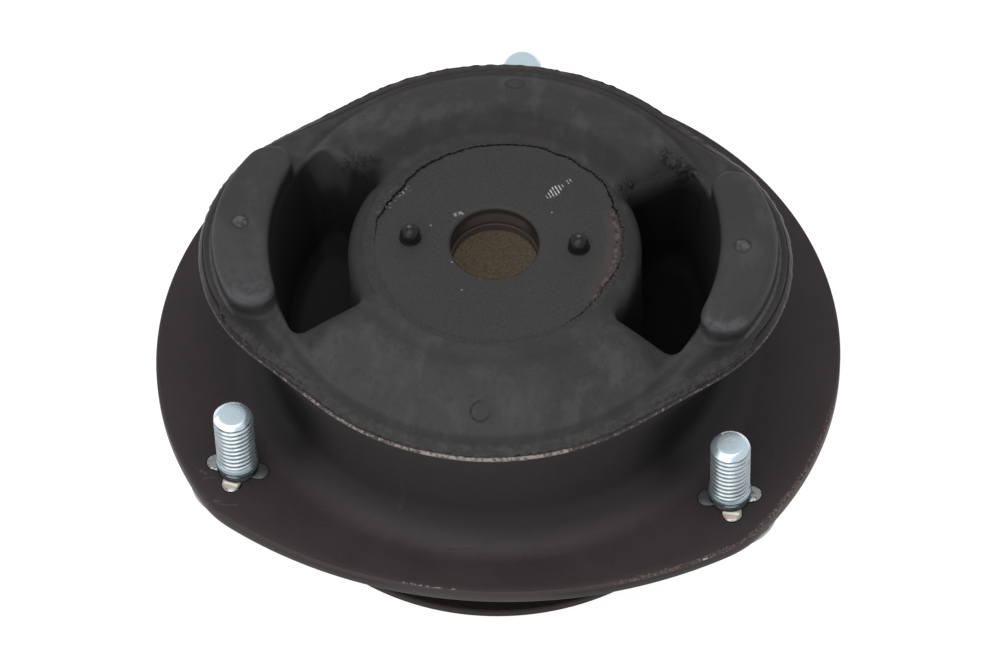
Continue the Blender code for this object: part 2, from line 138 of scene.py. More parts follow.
def rimOutline(turn):                # turn: 0 at an ear, a quarter turn at the front or back
    tangent = math.acos((rimRadius - housing["earTip"]) / earCentre)
    tipEnd = math.atan2(housing["earTip"] * math.sin(tangent),
                        earCentre + housing["earTip"] * math.cos(tangent))
    tip = earCentre * np.cos(turn) + np.sqrt(
        np.maximum(housing["earTip"] ** 2 - (earCentre * np.sin(turn)) ** 2, 0))
    straight = rimRadius / np.cos(np.minimum(turn, tangent) - tangent)
    return np.where(turn >= tangent, rimRadius, np.where(turn >= tipEnd, straight, tip))


def flareShape(turn):                # radius and sweep of the arc from the neck to the mouth
    out = rimOutline(turn) - housing["neck"]
    radius = (out * out + rise * rise) / (2 * out)
    return radius, np.arcsin(rise / radius)


def sheetAt(share):                  # the sheet thins towards the mouth
    return between(housing["sheet"], housing["rimSheet"], share)


# Meshes

def gridFaces(rows, columns, closeRows=True, closeColumns=True):
    r = np.arange(rows if closeRows else rows - 1)
    c = np.arange(columns if closeColumns else columns - 1)
    r, c = np.meshgrid(r, c, indexing="ij")
    r1, c1 = (r + 1) % rows, (c + 1) % columns
    quads = np.stack([r * columns + c, r * columns + c1, r1 * columns + c1, r1 * columns + c], -1)
    return quads.reshape(-1, 4).tolist()


def roundCorners(corners, closed=True, arcSteps=4):
    # corners are (radius, height, rounding); a corner with a rounding becomes a short arc
    out = []
    count = len(corners)
    for i, (r, z, size) in enumerate(corners):
        here = Vector((r, z))
        if size <= 0 or (not closed and i in (0, count - 1)):
            out.append((r, z))
            continue
        back = Vector(corners[i - 1][:2]) - here
        ahead = Vector(corners[(i + 1) % count][:2]) - here
        half = back.angle(ahead) / 2
        reach = min(size / math.tan(half), back.length * 0.49, ahead.length * 0.49)
        start = here + back.normalized() * reach
        end = here + ahead.normalized() * reach
        bulge = (back.normalized() + ahead.normalized()).normalized()
        radius = reach * math.tan(half)
        centre = here + bulge * (radius / math.sin(half))
        for k in range(arcSteps + 1):
            spoke = (start - centre).slerp(end - centre, k / arcSteps)
            out.append(tuple(centre + spoke * radius))
    return out


def turned(profile, steps, closed=True):
    # an open profile ends on the axis at both ends, and each end becomes one point
    verts, faces = [], []
    inner = profile if closed else profile[1:-1]
    for k in range(steps):
        a = 2 * math.pi * k / steps
        verts += [(r * math.cos(a), r * math.sin(a), z) for r, z in inner]
    n = len(inner)
    faces += gridFaces(steps, n, True, closed)
    if not closed:
        first, last = len(verts), len(verts) + 1
        verts += [(0, 0, profile[0][1]), (0, 0, profile[-1][1])]
        for k in range(steps):
            after = (k + 1) % steps
            faces.append((first, k * n, after * n))
            faces.append((last, after * n + n - 1, k * n + n - 1))
    return np.array(verts), faces


def placed(name, data):
    made = bpy.data.objects.new(name, data)
    bpy.context.scene.collection.objects.link(made)
    return made


def makePiece(name, verts, faces, sharp=40):
    mesh = bpy.data.meshes.new(name)
    world = np.asarray(verts, float) * mm + np.array((axisX, axisY, flangeTop))
    mesh.from_pydata(world.tolist(), [], faces)
    mesh.validate()
    mesh.shade_smooth()
    mesh.set_sharp_from_angle(angle=math.radians(sharp))
    return placed(name, mesh)


def outwards(piece, weld=0.0):       # faces of a closed mesh all point out
    bm = bmesh.new()
    bm.from_mesh(piece.data)
    if weld:
        bmesh.ops.remove_doubles(bm, verts=bm.verts, dist=weld * mm)
    bmesh.ops.recalc_face_normals(bm, faces=bm.faces)
    bm.to_mesh(piece.data)
    bm.free()
    return piece


def dress(piece, material, slotName, *nodes):
    piece.data.materials.clear()
    piece.data.materials.append(material)
    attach(piece, "root")
    if nodes:
        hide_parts(*nodes)
    return piece


# Shaders

def shade(value):                    # a colour as a socket takes it, from three numbers or one for a grey
    if isinstance(value, Wire):
        return value
    return (*value, 1) if isinstance(value, tuple) else (value, value, value, 1)


class Wire:                          # one socket of a shader tree; sums on it add Math nodes
    def __init__(self, tree, socket):
        self.tree = tree
        self.socket = socket

    def node(self, kind, settings=None, inputs=None, out=0):
        made = self.tree.nodes.new("ShaderNode" + kind)
        for key, value in (settings or {}).items():
            setattr(made, key, value)
        for key, value in (inputs or {}).items():
            if isinstance(value, Wire):
                self.tree.links.new(value.socket, made.inputs[key])
            else:
                made.inputs[key].default_value = value
        return Wire(self.tree, made.outputs[out])

    def math(self, operation, *values):
        return self.node("Math", {"operation": operation}, dict(enumerate(values)))

    def __add__(self, other):
        return self.math("ADD", self, other)

    def __sub__(self, other):
        return self.math("SUBTRACT", self, other)

    def __rsub__(self, other):
        return self.math("SUBTRACT", other, self)

    def __mul__(self, other):
        return self.math("MULTIPLY", self, other)

    def __abs__(self):
        return self.math("ABSOLUTE", self)

    __radd__ = __add__
    __rmul__ = __mul__

    def step(self, low, high):       # smooth step from 0 to 1, downwards where low is above high
        flip = low > high
        ends = (high, low) if flip else (low, high)
        made = self.node("MapRange", {"interpolation_type": "SMOOTHSTEP"},
                         {0: self, 1: ends[0], 2: ends[1]})
        return 1 - made if flip else made


class Finish:                        # a material under work, with its coordinates in mm at the bore axis
    def __init__(self, name, roughness, specular=0.5, metallic=0.0):
        self.material = bpy.data.materials.new(name)
        self.material.use_nodes = True
        self.tree = self.material.node_tree
        self.shader = self.tree.nodes["Principled BSDF"]
        fixed = {"Roughness": roughness, "Metallic": metallic, "Specular IOR Level": specular}
        for key, value in fixed.items():
            self.shader.inputs[key].default_value = value
        start = Wire(self.tree, None)
        self.node = start.node
        raw = start.node("TexCoord", out="Object")
        moved = start.node("VectorMath", {"operation": "SUBTRACT"},
                           {0: raw, 1: (axisX, axisY, flangeTop)})
        self.place = start.node("VectorMath", {"operation": "SCALE"}, {0: moved, "Scale": 1 / mm})
        split = start.node("SeparateXYZ", None, {0: self.place})
        self.x, self.y, self.z = (Wire(self.tree, split.socket.node.outputs[i]) for i in range(3))
        self.radius = self.x.math("SQRT", self.x * self.x + self.y * self.y)
        self.angle = self.x.math("ARCTAN2", self.y, self.x)

    def noise(self, scale, detail=3.0, roughness=0.55, stretch=None, shift=0.0):
        # scale is in cells per mm
        place = self.place
        if stretch:
            place = self.node("VectorMath", {"operation": "MULTIPLY"}, {0: place, 1: stretch})
        if shift:
            place = self.node("VectorMath", {"operation": "ADD"}, {0: place, 1: (shift, shift, shift)})
        return self.node("TexNoise", None, {"Vector": place, "Scale": scale, "Detail": detail,
                                            "Roughness": roughness})

    def specks(self, scale, size, shift=0.0):
        # small scattered spots: near the middle of the cells of a Voronoi pattern
        place = self.node("VectorMath", {"operation": "ADD"}, {0: self.place, 1: (shift, shift, shift)})
        near = self.node("TexVoronoi", None, {"Vector": place, "Scale": scale})
        return near.step(size, size * 0.4)

    def mix(self, factor, a, b):
        return self.node("Mix", {"data_type": "RGBA"}, {0: factor, 6: shade(a), 7: shade(b)}, out=2)

    def paint(self, mask, colour):   # lays a colour over what is there so far
        self.base = self.mix(mask, self.base, colour)

    def stroke(self, start, end, width, soft=0.3):
        # a straight mark in the x, y plane from start to end
        ax, ay = start
        bx, by = end
        length = math.hypot(bx - ax, by - ay)
        ux, uy = (bx - ax) / length, (by - ay) / length
        along = (self.x - ax) * ux + (self.y - ay) * uy
        across = abs((self.x - ax) * -uy + (self.y - ay) * ux)
        ends = abs(along - length / 2)
        return across.step(width / 2 + soft, width / 2) * ends.step(length / 2 + soft, length / 2)

    def away(self, centre):
        # distance from a point of the x, y plane
        dx, dy = self.x - centre[0], self.y - centre[1]
        return self.x.math("SQRT", dx * dx + dy * dy)

    def spot(self, centre, radius, soft):
        return self.away(centre).step(radius + soft, radius)

    def ring(self, centre, radius, width, soft=0.2):
        off = abs(self.away(centre) - radius)
        return off.step(width / 2 + soft, width / 2)

    def most(self, *values):
        # the largest of several masks
        top = values[0]
        for value in values[1:]:
            top = top.math("MAXIMUM", top, value)
        return top

    def path(self, points, width, soft=0.3):
        return self.most(*[self.stroke(a, b, width, soft) for a, b in zip(points, points[1:])])

    def rimGap(self):
        # plan distance from the mouth's outline inwards, on its ear arcs, straights or round part
        tangent = math.acos((rimRadius - housing["earTip"]) / earCentre)
        tipEnd = math.atan2(housing["earTip"] * math.sin(tangent),
                            earCentre + housing["earTip"] * math.cos(tangent))
        x, y = abs(self.x), abs(self.y)
        turn = self.x.math("ARCTAN2", y, x)
        dx = x - earCentre
        tip = housing["earTip"] - self.x.math("SQRT", dx * dx + y * y)
        straight = rimRadius - (x * math.cos(tangent) + y * math.sin(tangent))
        arc = rimRadius - self.radius
        onLine = turn.math("LESS_THAN", turn, tangent)
        onTip = turn.math("LESS_THAN", turn, tipEnd)
        return arc + (straight - arc) * onLine + (tip - straight) * onTip

    def studAway(self):
        # distance from the nearest stud's axis
        near = None
        for _, angle in studAngles():
            here = self.away((stud["circle"] * math.cos(angle), stud["circle"] * math.sin(angle)))
            near = here if near is None else near.math("MINIMUM", near, here)
        return near

    def side(self, start, end, soft):
        # 1 between two directions round the bore axis, in degrees from +x
        a, b = math.radians(start), math.radians(end)
        soft = math.radians(soft)
        return self.angle.step(a - soft, a) * self.angle.step(b + soft, b)

    def done(self, height, distance, **feeds):
        # links colour, bump (height 0 to 1, distance in mm) and the inputs that feeds names
        bump = self.node("Bump", None, {"Height": height, "Distance": distance * mm, "Strength": 1.0})
        for name, value in {"Base Color": self.base, "Normal": bump, **feeds}.items():
            self.tree.links.new(value.socket, self.shader.inputs[name])
        return self.material


# Housing: one drawn sheet, lofted round the bore axis

def housingSection(angle):
    turn = math.atan2(abs(math.sin(angle)), abs(math.cos(angle)))
    edge = float(flangeOutline(angle))
    soft = housing["edgeRound"]
    sheet, fillet, neck = housing["sheet"], housing["fillet"], housing["neck"]
    radius, sweep = (float(v) for v in flareShape(turn))
    outer, inner = [], []
    for k in range(4):                                   # rounded edge of the flange
        a = quarter * k / 3
        outer.append((edge - soft + soft * math.cos(a), -soft + soft * math.sin(a)))
        inner.append((edge - soft + soft * math.cos(a), soft - sheet - soft * math.sin(a)))
    foot = neck + fillet
    for k in range(1, 5):                                # flat of the flange
        outer.append((between(edge - soft, foot, k / 5), 0.0))
        inner.append((between(edge - soft, foot, k / 5), -sheet))
    for k in range(13):                                  # fillet up to the neck
        a = quarter * k / 12
        outer.append((foot - fillet * math.sin(a), fillet - fillet * math.cos(a)))
        reach = fillet + sheet
        inner.append((foot - reach * math.sin(a), fillet - reach * math.cos(a)))
    for k in range(1, 19):                               # flare up to the mouth
        share = k / 18
        a = sweep * share
        lift = 1 - 0.015 * (share == 1)
        outer.append((neck + radius - radius * math.cos(a * lift),
                      fillet + radius * math.sin(a * lift)))
        reach = radius + sheetAt(share)
        inner.append((neck + radius - reach * math.cos(a * lift),
                      fillet + reach * math.sin(a * lift)))
    # end face of the mouth, square to the sheet, with worn and slightly torn corners
    rim = Vector((neck + radius - radius * math.cos(sweep), fillet + radius * math.sin(sweep)))
    inward = Vector((-math.cos(sweep), math.sin(sweep)))
    forward = Vector((math.sin(sweep), math.cos(sweep)))
    thick, soft = housing["rimSheet"], housing["rimRound"]
    point = Vector((math.cos(angle), math.sin(angle), 0))
    burr = housing["burr"] * (1.5 if math.sin(angle) > 0 else 1.0)
    torn = burr * noise.noise(point * 32) + 0.8 * burr * noise.noise(point * 80)
    end = []
    for k in range(1, 5):
        a = quarter * k / 4
        end.append(rim + inward * (soft - soft * math.cos(a)) + forward * (soft * math.sin(a) - soft))
    for share in (0.3, 0.5, 0.7):
        end.append(rim + inward * between(soft, thick - soft, share))
    for k in range(0, 4):
        a = quarter * k / 4
        end.append(rim + inward * (thick - soft + soft * math.sin(a))
                   + forward * (soft * math.cos(a) - soft))
    ends = []
    for p in end:
        depth = (p - rim).dot(inward) / thick
        p = p + forward * torn * (1 - depth) + inward * torn * 0.5 * (1 - depth)
        ends.append(tuple(p))
    return outer + ends + inner[::-1]


def holeColumn(angle):               # cutter for the hole that a stud's lobed neck is pressed into
    reach = clover(stud["neck"] + stud["seat"] * 0.5, stud["lobe"] + stud["seat"] * 0.5)
    around = 2 * math.pi * np.arange(stud["steps"]) / stud["steps"] + angle
    across = stud["circle"] * math.cos(angle) + reach * np.cos(around)
    along = stud["circle"] * math.sin(angle) + reach * np.sin(around)
    verts = [(x, y, z) for z in (-6.0, 3.0) for x, y in zip(across, along)]
    n = stud["steps"]
    faces = gridFaces(2, n, False, True) + [tuple(range(n)), tuple(range(n, 2 * n))]
    return verts, faces


def makeHousing(material):
    print("housing")
    steps = housing["steps"]
    verts = []
    for k in range(steps):
        angle = 2 * math.pi * k / steps - quarter
        section = housingSection(angle)
        verts += [(r * math.cos(angle), r * math.sin(angle), z) for r, z in section]
    piece = outwards(makePiece("housing_shell", verts, gridFaces(steps, len(section)), 50))
    for name, angle in studAngles():
        verts, faces = holeColumn(angle)
        hole = outwards(makePiece("hole_" + name, verts, faces))
        cut = piece.modifiers.new("hole", "BOOLEAN")
        cut.object = hole
        cut.operation = "DIFFERENCE"
        cut.solver = "EXACT"
    graph = bpy.context.evaluated_depsgraph_get()
    cutMesh = bpy.data.meshes.new_from_object(piece.evaluated_get(graph))
    piece.modifiers.clear()
    piece.data = cutMesh
    for name, angle in studAngles():
        bpy.data.objects.remove(bpy.data.objects["hole_" + name])
    cutMesh.shade_smooth()
    cutMesh.set_sharp_from_angle(angle=math.radians(50))
    return dress(piece, material, "housing_coat", "outer_housing")


# Rubber: a field that is negative inside the rubber, meshed on a grid and pulled onto its zero level

rubber = {
    "clearance": 0.05,           # to the steel, small enough that no line shows
    "skin": 0.9,
    "overlap": (0.7, 0.22, 2.9), # in front the skin lies over the sheet's end: start, thickness, end
    "lip": 0.1,
    "crownInset": 3.9,
    "crownStep": 1.2,
    "crestSetback": 10.5,
    "crestRise": 1.3,
    "bulge": 0.9,
    "shelfStep": 2.1,
    "crownStart": math.radians(30),
    "crownFull": math.radians(42),
    "bellyRise": 1.6,
    "bellyDrop": 8.5,
    "web": 4.3,
    "lining": 0.6,
    "voidWall": 1.8,
    "voidHalf": math.radians(33),
    "voidCorner": 2.2,
    "voidFloor": 4.0,            # a web closes the voids below
    "voidFloorRound": 2.0,
    "mouth": 2.6,                # softness of the void's edge on the core side
    "mouthBack": 4.2,            # and at its back end
    "mouthFront": 1.1,
    "padHeight": 5.5,
    "padLedge": 0.2,
    "padInset": 3.1,
    "padHalf": math.radians(24),
    "padCorner": 4.4,
    "padRound": 2.2,
    "padFillet": 1.0,
    "cell": 0.46,                # mesh cell in the visible top
    "deepCell": 1.3,             # and down inside
    "valley": (27.0, 31.5),      # where a crown's inner side rises, from the bore axis
}


def crownTop(r, turn):
    crown = smoothStep(rubber["crownStart"], rubber["crownFull"], turn)
    radius, sweep = flareShape(turn)
    depth = housing["rimSheet"] + rubber["clearance"] + rubber["skin"]
    edgeR = housing["neck"] + radius - (radius + depth) * np.cos(sweep)
    edgeZ = housing["fillet"] + (radius + depth) * np.sin(sweep)
    foot = np.minimum(rimRadius - rubber["crownInset"], edgeR - rubber["skin"] / 2)
    bore = plate["radius"]
    crest = bore + rubber["crestSetback"]
    crestTop = plate["top"] + rubber["crestRise"]
    shelf = housing["rimHeight"] + rubber["shelfStep"]
    crownFoot = housing["rimHeight"] + rubber["crownStep"]
    lip = plate["top"] - rubber["lip"]
    climb = np.sin(np.clip((foot - r) / (foot - crest), 0, 1) * quarter) ** rubber["bulge"]
    sink = 1 - smoothStep(*rubber["valley"], r) * 0.85 - 0.15 * smoothStep(bore, crest, r)
    height = np.where(r > crest, between(crownFoot, crestTop, climb), between(crestTop, lip, sink))
    level = between(shelf, lip, np.clip((foot - r) / (foot - bore), 0, 1))
    top = between(level, height, crown)
    footHeight = between(shelf, crownFoot, crown)
    past = np.maximum(r - foot, 0) / np.maximum(edgeR - foot, 0.3)
    return top + (edgeZ - footHeight) * past


def roundedBox(u, v, corner):        # distance to a rectangle with rounded corners, from side distances
    a, b = u + corner, v + corner
    return np.hypot(np.maximum(a, 0), np.maximum(b, 0)) + np.minimum(np.maximum(a, b), 0) - corner


def rubberField(x, y, z):
    r = np.hypot(x, y)
    turn = np.arctan2(np.abs(y), np.abs(x))
    neck, fillet = housing["neck"], housing["fillet"]
    radius, sweep = flareShape(turn)
    # outer side against the sheet, in the flare and in the fillet under it
    share = np.clip((z - fillet) / rise, 0, 1)
    upper = radius + sheetAt(share) + rubber["clearance"] - np.hypot(r - neck - radius, z - fillet)
    lower = fillet + housing["sheet"] + rubber["clearance"] - np.hypot(r - neck - fillet, z - fillet)
    rimR = neck + radius - radius * np.cos(sweep)
    bellyOuter = neck + fillet - (fillet + housing["sheet"]) * math.sin(quarter / 2)
    wall = np.where(z > fillet, np.maximum(upper, r - rimR), np.maximum(lower, r - bellyOuter - 1))
    end = (r - rimR) * np.sin(sweep) + (z - housing["rimHeight"]) * np.cos(sweep)
    top = (z - crownTop(r, turn)) * 0.93
    body = softMax(softMax(top, end, 0.7), wall, 0.5)
    start, thick, stop = rubber["overlap"]
    inward = (rimR - r) * np.cos(sweep) + (z - housing["rimHeight"]) * np.sin(sweep)
    ragged = 0.12 * np.sin(9 * np.arctan2(y, x)) * np.sin(31 * np.arctan2(y, x) + 1)
    lip = roundedBox(np.maximum(start + ragged - inward, inward - stop), np.abs(end) - thick, 0.2)
    body = softMin(body, lip + 1.5 * smoothStep(-19, -15, y), 0.9)
    # pads
    shelf = housing["rimHeight"] + rubber["shelfStep"]
    voidInner = plate["radius"] + rubber["web"]
    voidOuter = neck - rubber["voidWall"]
    padInner = voidOuter + rubber["padLedge"]
    padOuter = housing["earTip"] - rubber["padInset"]
    middle = (padInner + earCentre + padOuter) / 2
    sides = softMax(padInner - r, np.hypot(np.abs(x) - earCentre, y) - padOuter, 1.0)
    flat = roundedBox(turn * middle - rubber["padHalf"] * middle, sides, rubber["padCorner"])
    soft = rubber["padRound"]
    above = z - shelf - rubber["padHeight"]
    pad = np.maximum(roundedBox(flat, above, soft), shelf - 2 - z)
    body = softMin(body, pad, rubber["padFillet"])
    # voids, drafted on the outer side
    low = neck - housing["sheet"] - rubber["clearance"] - rubber["lining"]
    outer = between(low, voidOuter, smoothStep(fillet, plate["top"] - 3, z))
    centre = (voidInner + outer) / 2
    middle = (voidInner + voidOuter) / 2
    void = roundedBox((turn - rubber["voidHalf"]) * middle, np.abs(r - centre) - (outer - voidInner) / 2,
                      rubber["voidCorner"])
    void = roundedBox(void, rubber["voidFloor"] - z, rubber["voidFloorRound"])
    coreSide = smoothStep(centre + 2, centre - 4, r)
    ends = between(rubber["mouthFront"], rubber["mouthBack"], smoothStep(-4, 4, y))
    softness = between(ends, rubber["mouth"], coreSide * smoothStep(rubber["voidHalf"], 0.4, turn))
    softness = between(softness, 0.8, smoothStep(centre + 3, outer - 1, r))
    body = softMax(body, -void, softness)
    # bore for the core, and the underside
    body = softMax(body, plate["radius"] + rubber["clearance"] - r, 0.3)
    bellyLevel = fillet - (fillet + housing["sheet"]) * math.cos(quarter / 2)
    share = np.clip((r - plate["radius"]) / (bellyOuter - plate["radius"]), 0, 1)
    belly = bellyLevel + rubber["bellyRise"] * np.sin(math.pi * share) \
        - rubber["bellyDrop"] * (1 - share) ** 2
    return softMax(body, (belly - z) * 0.8, 0.6)


def surfaceNet(field, xs, ys, zs):
    # dual mesh of a grid: one point in each cell that the surface crosses
    values = field(*np.meshgrid(xs, ys, zs, indexing="ij"))
    inside = values < 0
    axes = (xs, ys, zs)
    shape = tuple(n - 1 for n in values.shape)
    total = np.zeros(shape + (3,))
    count = np.zeros(shape)
    corners = [(i, j, k) for i in (0, 1) for j in (0, 1) for k in (0, 1)]

    def corner(array, c):
        return array[tuple(slice(c[d], c[d] + shape[d]) for d in range(3))]

    grids = np.meshgrid(*[np.arange(n) for n in shape], indexing="ij")
    for a in corners:
        for d in range(3):
            if a[d]:
                continue
            b = tuple(a[e] + (e == d) for e in range(3))
            crossed = corner(inside, a) != corner(inside, b)
            va, vb = corner(values, a)[crossed], corner(values, b)[crossed]
            share = va / (va - vb)
            for e in range(3):
                index = grids[e][crossed]
                start = axes[e][index + a[e]]
                if e == d:
                    start = start + share * (axes[e][index + 1] - axes[e][index])
                total[..., e][crossed] += start
            count[crossed] += 1
    active = count > 0
    number = np.full(shape, -1)
    number[active] = np.arange(active.sum())
    points = total[active] / count[active][:, None]
    faces = []
    for d in range(3):
        e, f = (d + 1) % 3, (d + 2) % 3
        head = [slice(1, -1)] * 3
        head[d] = slice(0, -1)
        tail = list(head)
        tail[d] = slice(1, None)
        first, second = inside[tuple(head)], inside[tuple(tail)]
        spots = np.argwhere(first != second)
        leaving = first[first != second]
        spots[:, e] += 1
        spots[:, f] += 1

        def cell(de, df):
            at = spots.copy()
            at[:, e] -= de
            at[:, f] -= df
            return number[at[:, 0], at[:, 1], at[:, 2]]

        quads = np.stack([cell(1, 1), cell(0, 1), cell(0, 0), cell(1, 0)], 1)
        quads[~leaving] = quads[~leaving][:, ::-1]
        faces.append(quads)
    return points, np.concatenate(faces)


def pullOnto(field, points, rounds=3, step=0.02):
    # Newton steps along the field's slope
    for _ in range(rounds):
        value = field(*points.T)
        slope = np.stack([(field(*(points + step * unit).T) - value) / step for unit in np.eye(3)], 1)
        size = np.maximum((slope * slope).sum(1), 0.05)
        move = -(value / size)[:, None] * slope
        length = np.linalg.norm(move, axis=1)
        move *= np.minimum(1, 0.25 / np.maximum(length, 1e-9))[:, None]
        points = points + move
    return points


def makeRubber(material):
    print("rubber")
    cell, deep = rubber["cell"], rubber["deepCell"]
    reachX = rimRadius + housing["earStandout"] + 1
    reachY = rimRadius + 1
    xs = np.arange(-reachX, reachX + cell, cell)
    ys = np.arange(-reachY, reachY + cell, cell)
    zs = np.concatenate([np.arange(-12, 22, deep), np.arange(22, 38, cell)])
    points, faces = surfaceNet(rubberField, xs, ys, zs)
    points = pullOnto(rubberField, points)
    print("rubber points", len(points), "faces", len(faces))
    piece = makePiece("rubber_moulding", points, faces.tolist(), 60)
    return dress(piece, material, "moulded_rubber", "rubber_body")


# Film of spilled rubber, a dark ribbon of painted shade in the tear along its edge, and the plate under it

flash = {                        # rubber film that spilled over the plate's edge in moulding
    "centre": (0.65, 0.3),       # its round edge isn't quite concentric with the plate
    "radius": 23.75,
    # direction in degrees, shift of the edge outwards, height of the film
    "film": ((-180, 0.0, 0.05), (-70, 0.0, 0.02), (-45, 0.1, 0.12), (-33, -0.3, 0.25), (-20, -0.4, 0.3),
             (-10, 0.3, 0.22), (2, 0.1, 0.3), (12, 0.4, 0.28), (24, -0.1, 0.2), (37, 0.9, 0.1),
             (60, 0.6, 0.08), (95, 0.1, 0.08), (120, -0.2, 0.1), (136, -0.3, 0.14), (147, -1.1, 0.25),
             (155, -0.6, 0.28), (165, -0.1, 0.22), (173, 0.1, 0.12), (180, 0.0, 0.05)),
    # direction and width of the dark ribbon along that edge, painted shade in the tear
    "tearShade": ((-180, 0.04), (-170, 0.0), (-60, 0.0), (-45, 0.05), (-30, 0.16), (0, 0.3), (25, 0.3),
             (60, 0.34), (100, 0.34), (140, 0.36), (165, 0.3), (180, 0.04)),
    "outer": 25.0,
    "steps": 1400,
}


def flashRing(name, rowsAt, material):
    # a closed ring round the plate: rowsAt gives its section at a step and a direction
    verts = []
    for degrees in np.linspace(-180, 180, flash["steps"], endpoint=False):
        a = math.radians(degrees)
        section = rowsAt(degrees, Vector((math.cos(a), math.sin(a), 0)))
        verts += [(r * math.cos(a), r * math.sin(a), z) for r, z in section]
    piece = outwards(makePiece(name, verts, gridFaces(flash["steps"], len(section)), 50))
    return dress(piece, material, "moulded_rubber")


def makeFlash(filmMaterial, tearShadeMaterial, plateMaterial):
    print("flash")
    top = plate["top"]
    degrees, shifts, heights = zip(*flash["film"])

    def edgeAt(turn, spot):
        strength = min(np.interp(turn, degrees, heights) / 0.2, 1.0)
        ragged = 0.9 * noise.noise(spot * 9) + 0.5 * noise.noise(spot * 30) \
            + (0.4 * noise.noise(spot * 60) + 0.3 * noise.noise(spot * 120)) * strength
        centre = Vector(flash["centre"]).dot(spot.xy)
        return flash["radius"] + centre + np.interp(turn, degrees, shifts) \
            + ragged * (0.22 + 0.3 * strength)

    def film(turn, spot):
        edge = edgeAt(turn, spot)
        height = np.interp(turn, degrees, heights) * max(0.7 + noise.noise(spot * 60), 0.2)
        outer = max(flash["outer"], edge + 0.6)
        return ((edge, top - 0.3), (edge + 0.02, top + height * 0.7), (edge + 0.16, top + height),
                (between(edge, outer, 0.4), top + height * (0.8 + 0.5 * noise.noise(spot * 33))),
                (between(edge, outer, 0.75), top + height * 0.5), (outer + 0.5, top - 0.3))

    def tearShade(turn, spot):
        edge = edgeAt(turn, spot) + 0.12 * noise.noise(spot * 22)
        width = np.interp(turn, *zip(*flash["tearShade"])) * max(0.9 + 1.1 * noise.noise(spot * 50), 0.05)
        height = top + np.interp(turn, degrees, heights) * 1.1 + 0.03
        low = top - 0.35 if width > 0.02 else top - 0.5
        height = height if width > 0.02 else top - 0.4
        return ((edge - width / 2, low), (edge - width / 2, height),
                (edge + width / 2 + 0.01, height), (edge + width / 2 + 0.01, low))

    def lap(turn, spot):                # plate under the film where that stands off its edge
        edge = edgeAt(turn, spot)
        high = top + (0.03 if edge > plate["radius"] - 0.5 else -0.25)
        reach = max(edge, 23.2)
        return (22.9, top - 0.35), (23.0, high - 0.02), (reach, high), (reach, top - 0.4)

    flashRing("rubber_flash", film, filmMaterial)
    flashRing("flash_tear_shade", tearShade, tearShadeMaterial)
    flashRing("plate_lap", lap, plateMaterial)


# Core plate, pins and cup: turned shapes

pin = {
    "offset": 16.25,
    "radius": 1.95,
    "height": 3.1,
    "dome": 1.75,
    "steps": 40,
}


def makeCore(plateMaterial, pinMaterial, cupMaterial):
    print("core")
    soft = plate["rimRound"]
    profile = roundCorners([
        (plate["bore"], plate["top"] - plate["chamfer"], 0.1),
        (plate["bore"] + plate["chamfer"], plate["top"], 0.1),
        (plate["radius"], plate["top"], soft),
        (plate["radius"], plate["bottom"], soft),
        (plate["bore"], plate["bottom"], soft),
    ])
    piece = outwards(makePiece("core_disc", *turned(profile, plate["steps"])))
    dress(piece, plateMaterial, "core_phosphate", "core_plate")
    top = plate["top"] + pin["height"]
    dome = pin["dome"]
    shape = [(0, top)]
    for k in range(1, 9):
        a = quarter * k / 8
        shape.append((pin["radius"] * math.sin(a), top - dome * (1 - math.cos(a))))
    shape += [(pin["radius"], plate["top"] + 0.5), (pin["radius"] + 0.12, plate["top"] + 0.1),
              (pin["radius"] + 0.3, plate["top"] - 0.1), (pin["radius"], plate["bottom"]),
              (0, plate["bottom"])]
    for side, sign in (("left", -1), ("right", 1)):
        verts, faces = turned(shape, pin["steps"], False)
        verts = verts + np.array((sign * pin["offset"], 0, 0))
        piece = outwards(makePiece("pin_" + side, verts, faces, 50))
        dress(piece, pinMaterial, "pin_steel", "locating_pin_" + side)
    wall = plate["radius"]
    sheet, fillet = cup["sheet"], cup["fillet"]
    profile = roundCorners([
        (cup["hole"], cup["top"], 0.3),
        (wall, cup["top"], cup["corner"]),
        (wall, cup["foot"] + sheet, fillet),
        (cup["footRadius"], cup["foot"] + sheet, 0.5),
        (cup["footRadius"], cup["foot"], 0.5),
        (wall - sheet, cup["foot"], fillet + sheet),
        (wall - sheet, cup["top"] - sheet, cup["corner"] - sheet),
        (cup["hole"], cup["top"] - sheet, 0.3),
    ], arcSteps=10)
    piece = outwards(makePiece("cup_drawn", *turned(profile, cup["steps"])))
    dress(piece, cupMaterial, "cup_primer", "bump_stop_cup")


# Studs

stud = {
    "circle": 58.1,
    "spread": math.radians(55.2),
    "height": 17.1,
    "radius": 3.85,
    "pitch": 1.25,
    "threadDepth": 0.6,
    "tipTaper": 1.15,
    "tipHeight": 1.1,
    "coneStart": 0.08,           # over the foot of the tip
    "coneSlope": 1.054,
    "collar": 4.15,
    "collarLow": 1.7,
    "collarHigh": 3.1,
    "undercut": 3.3,
    "lobeOffset": 4.3,
    "lobe": 1.88,
    "lobeRise": 0.3,
    "neck": 3.7,
    "head": 9.35,
    "headThickness": 3.0,
    "seat": 0.3,
    "steps": 72,
    "rowsPerTurn": 14,
}


def studAngles():
    return (("left", -quarter - stud["spread"]), ("right", -quarter + stud["spread"]),
            ("back", quarter))


def clover(core, lobe):              # a circle with four lobes, as a radius for each angle
    angles = 2 * math.pi * np.arange(stud["steps"]) / stud["steps"]
    reach = np.full(len(angles), core)
    for side in range(4):
        off = angles - math.radians(45) - side * quarter
        across = stud["lobeOffset"] * np.sin(off)
        along = stud["lobeOffset"] * np.cos(off)
        hit = (np.abs(across) < lobe) & (along > 0)
        edge = along + np.sqrt(np.maximum(lobe ** 2 - across ** 2, 0))
        reach = np.where(hit, np.maximum(reach, edge), reach)
    return reach


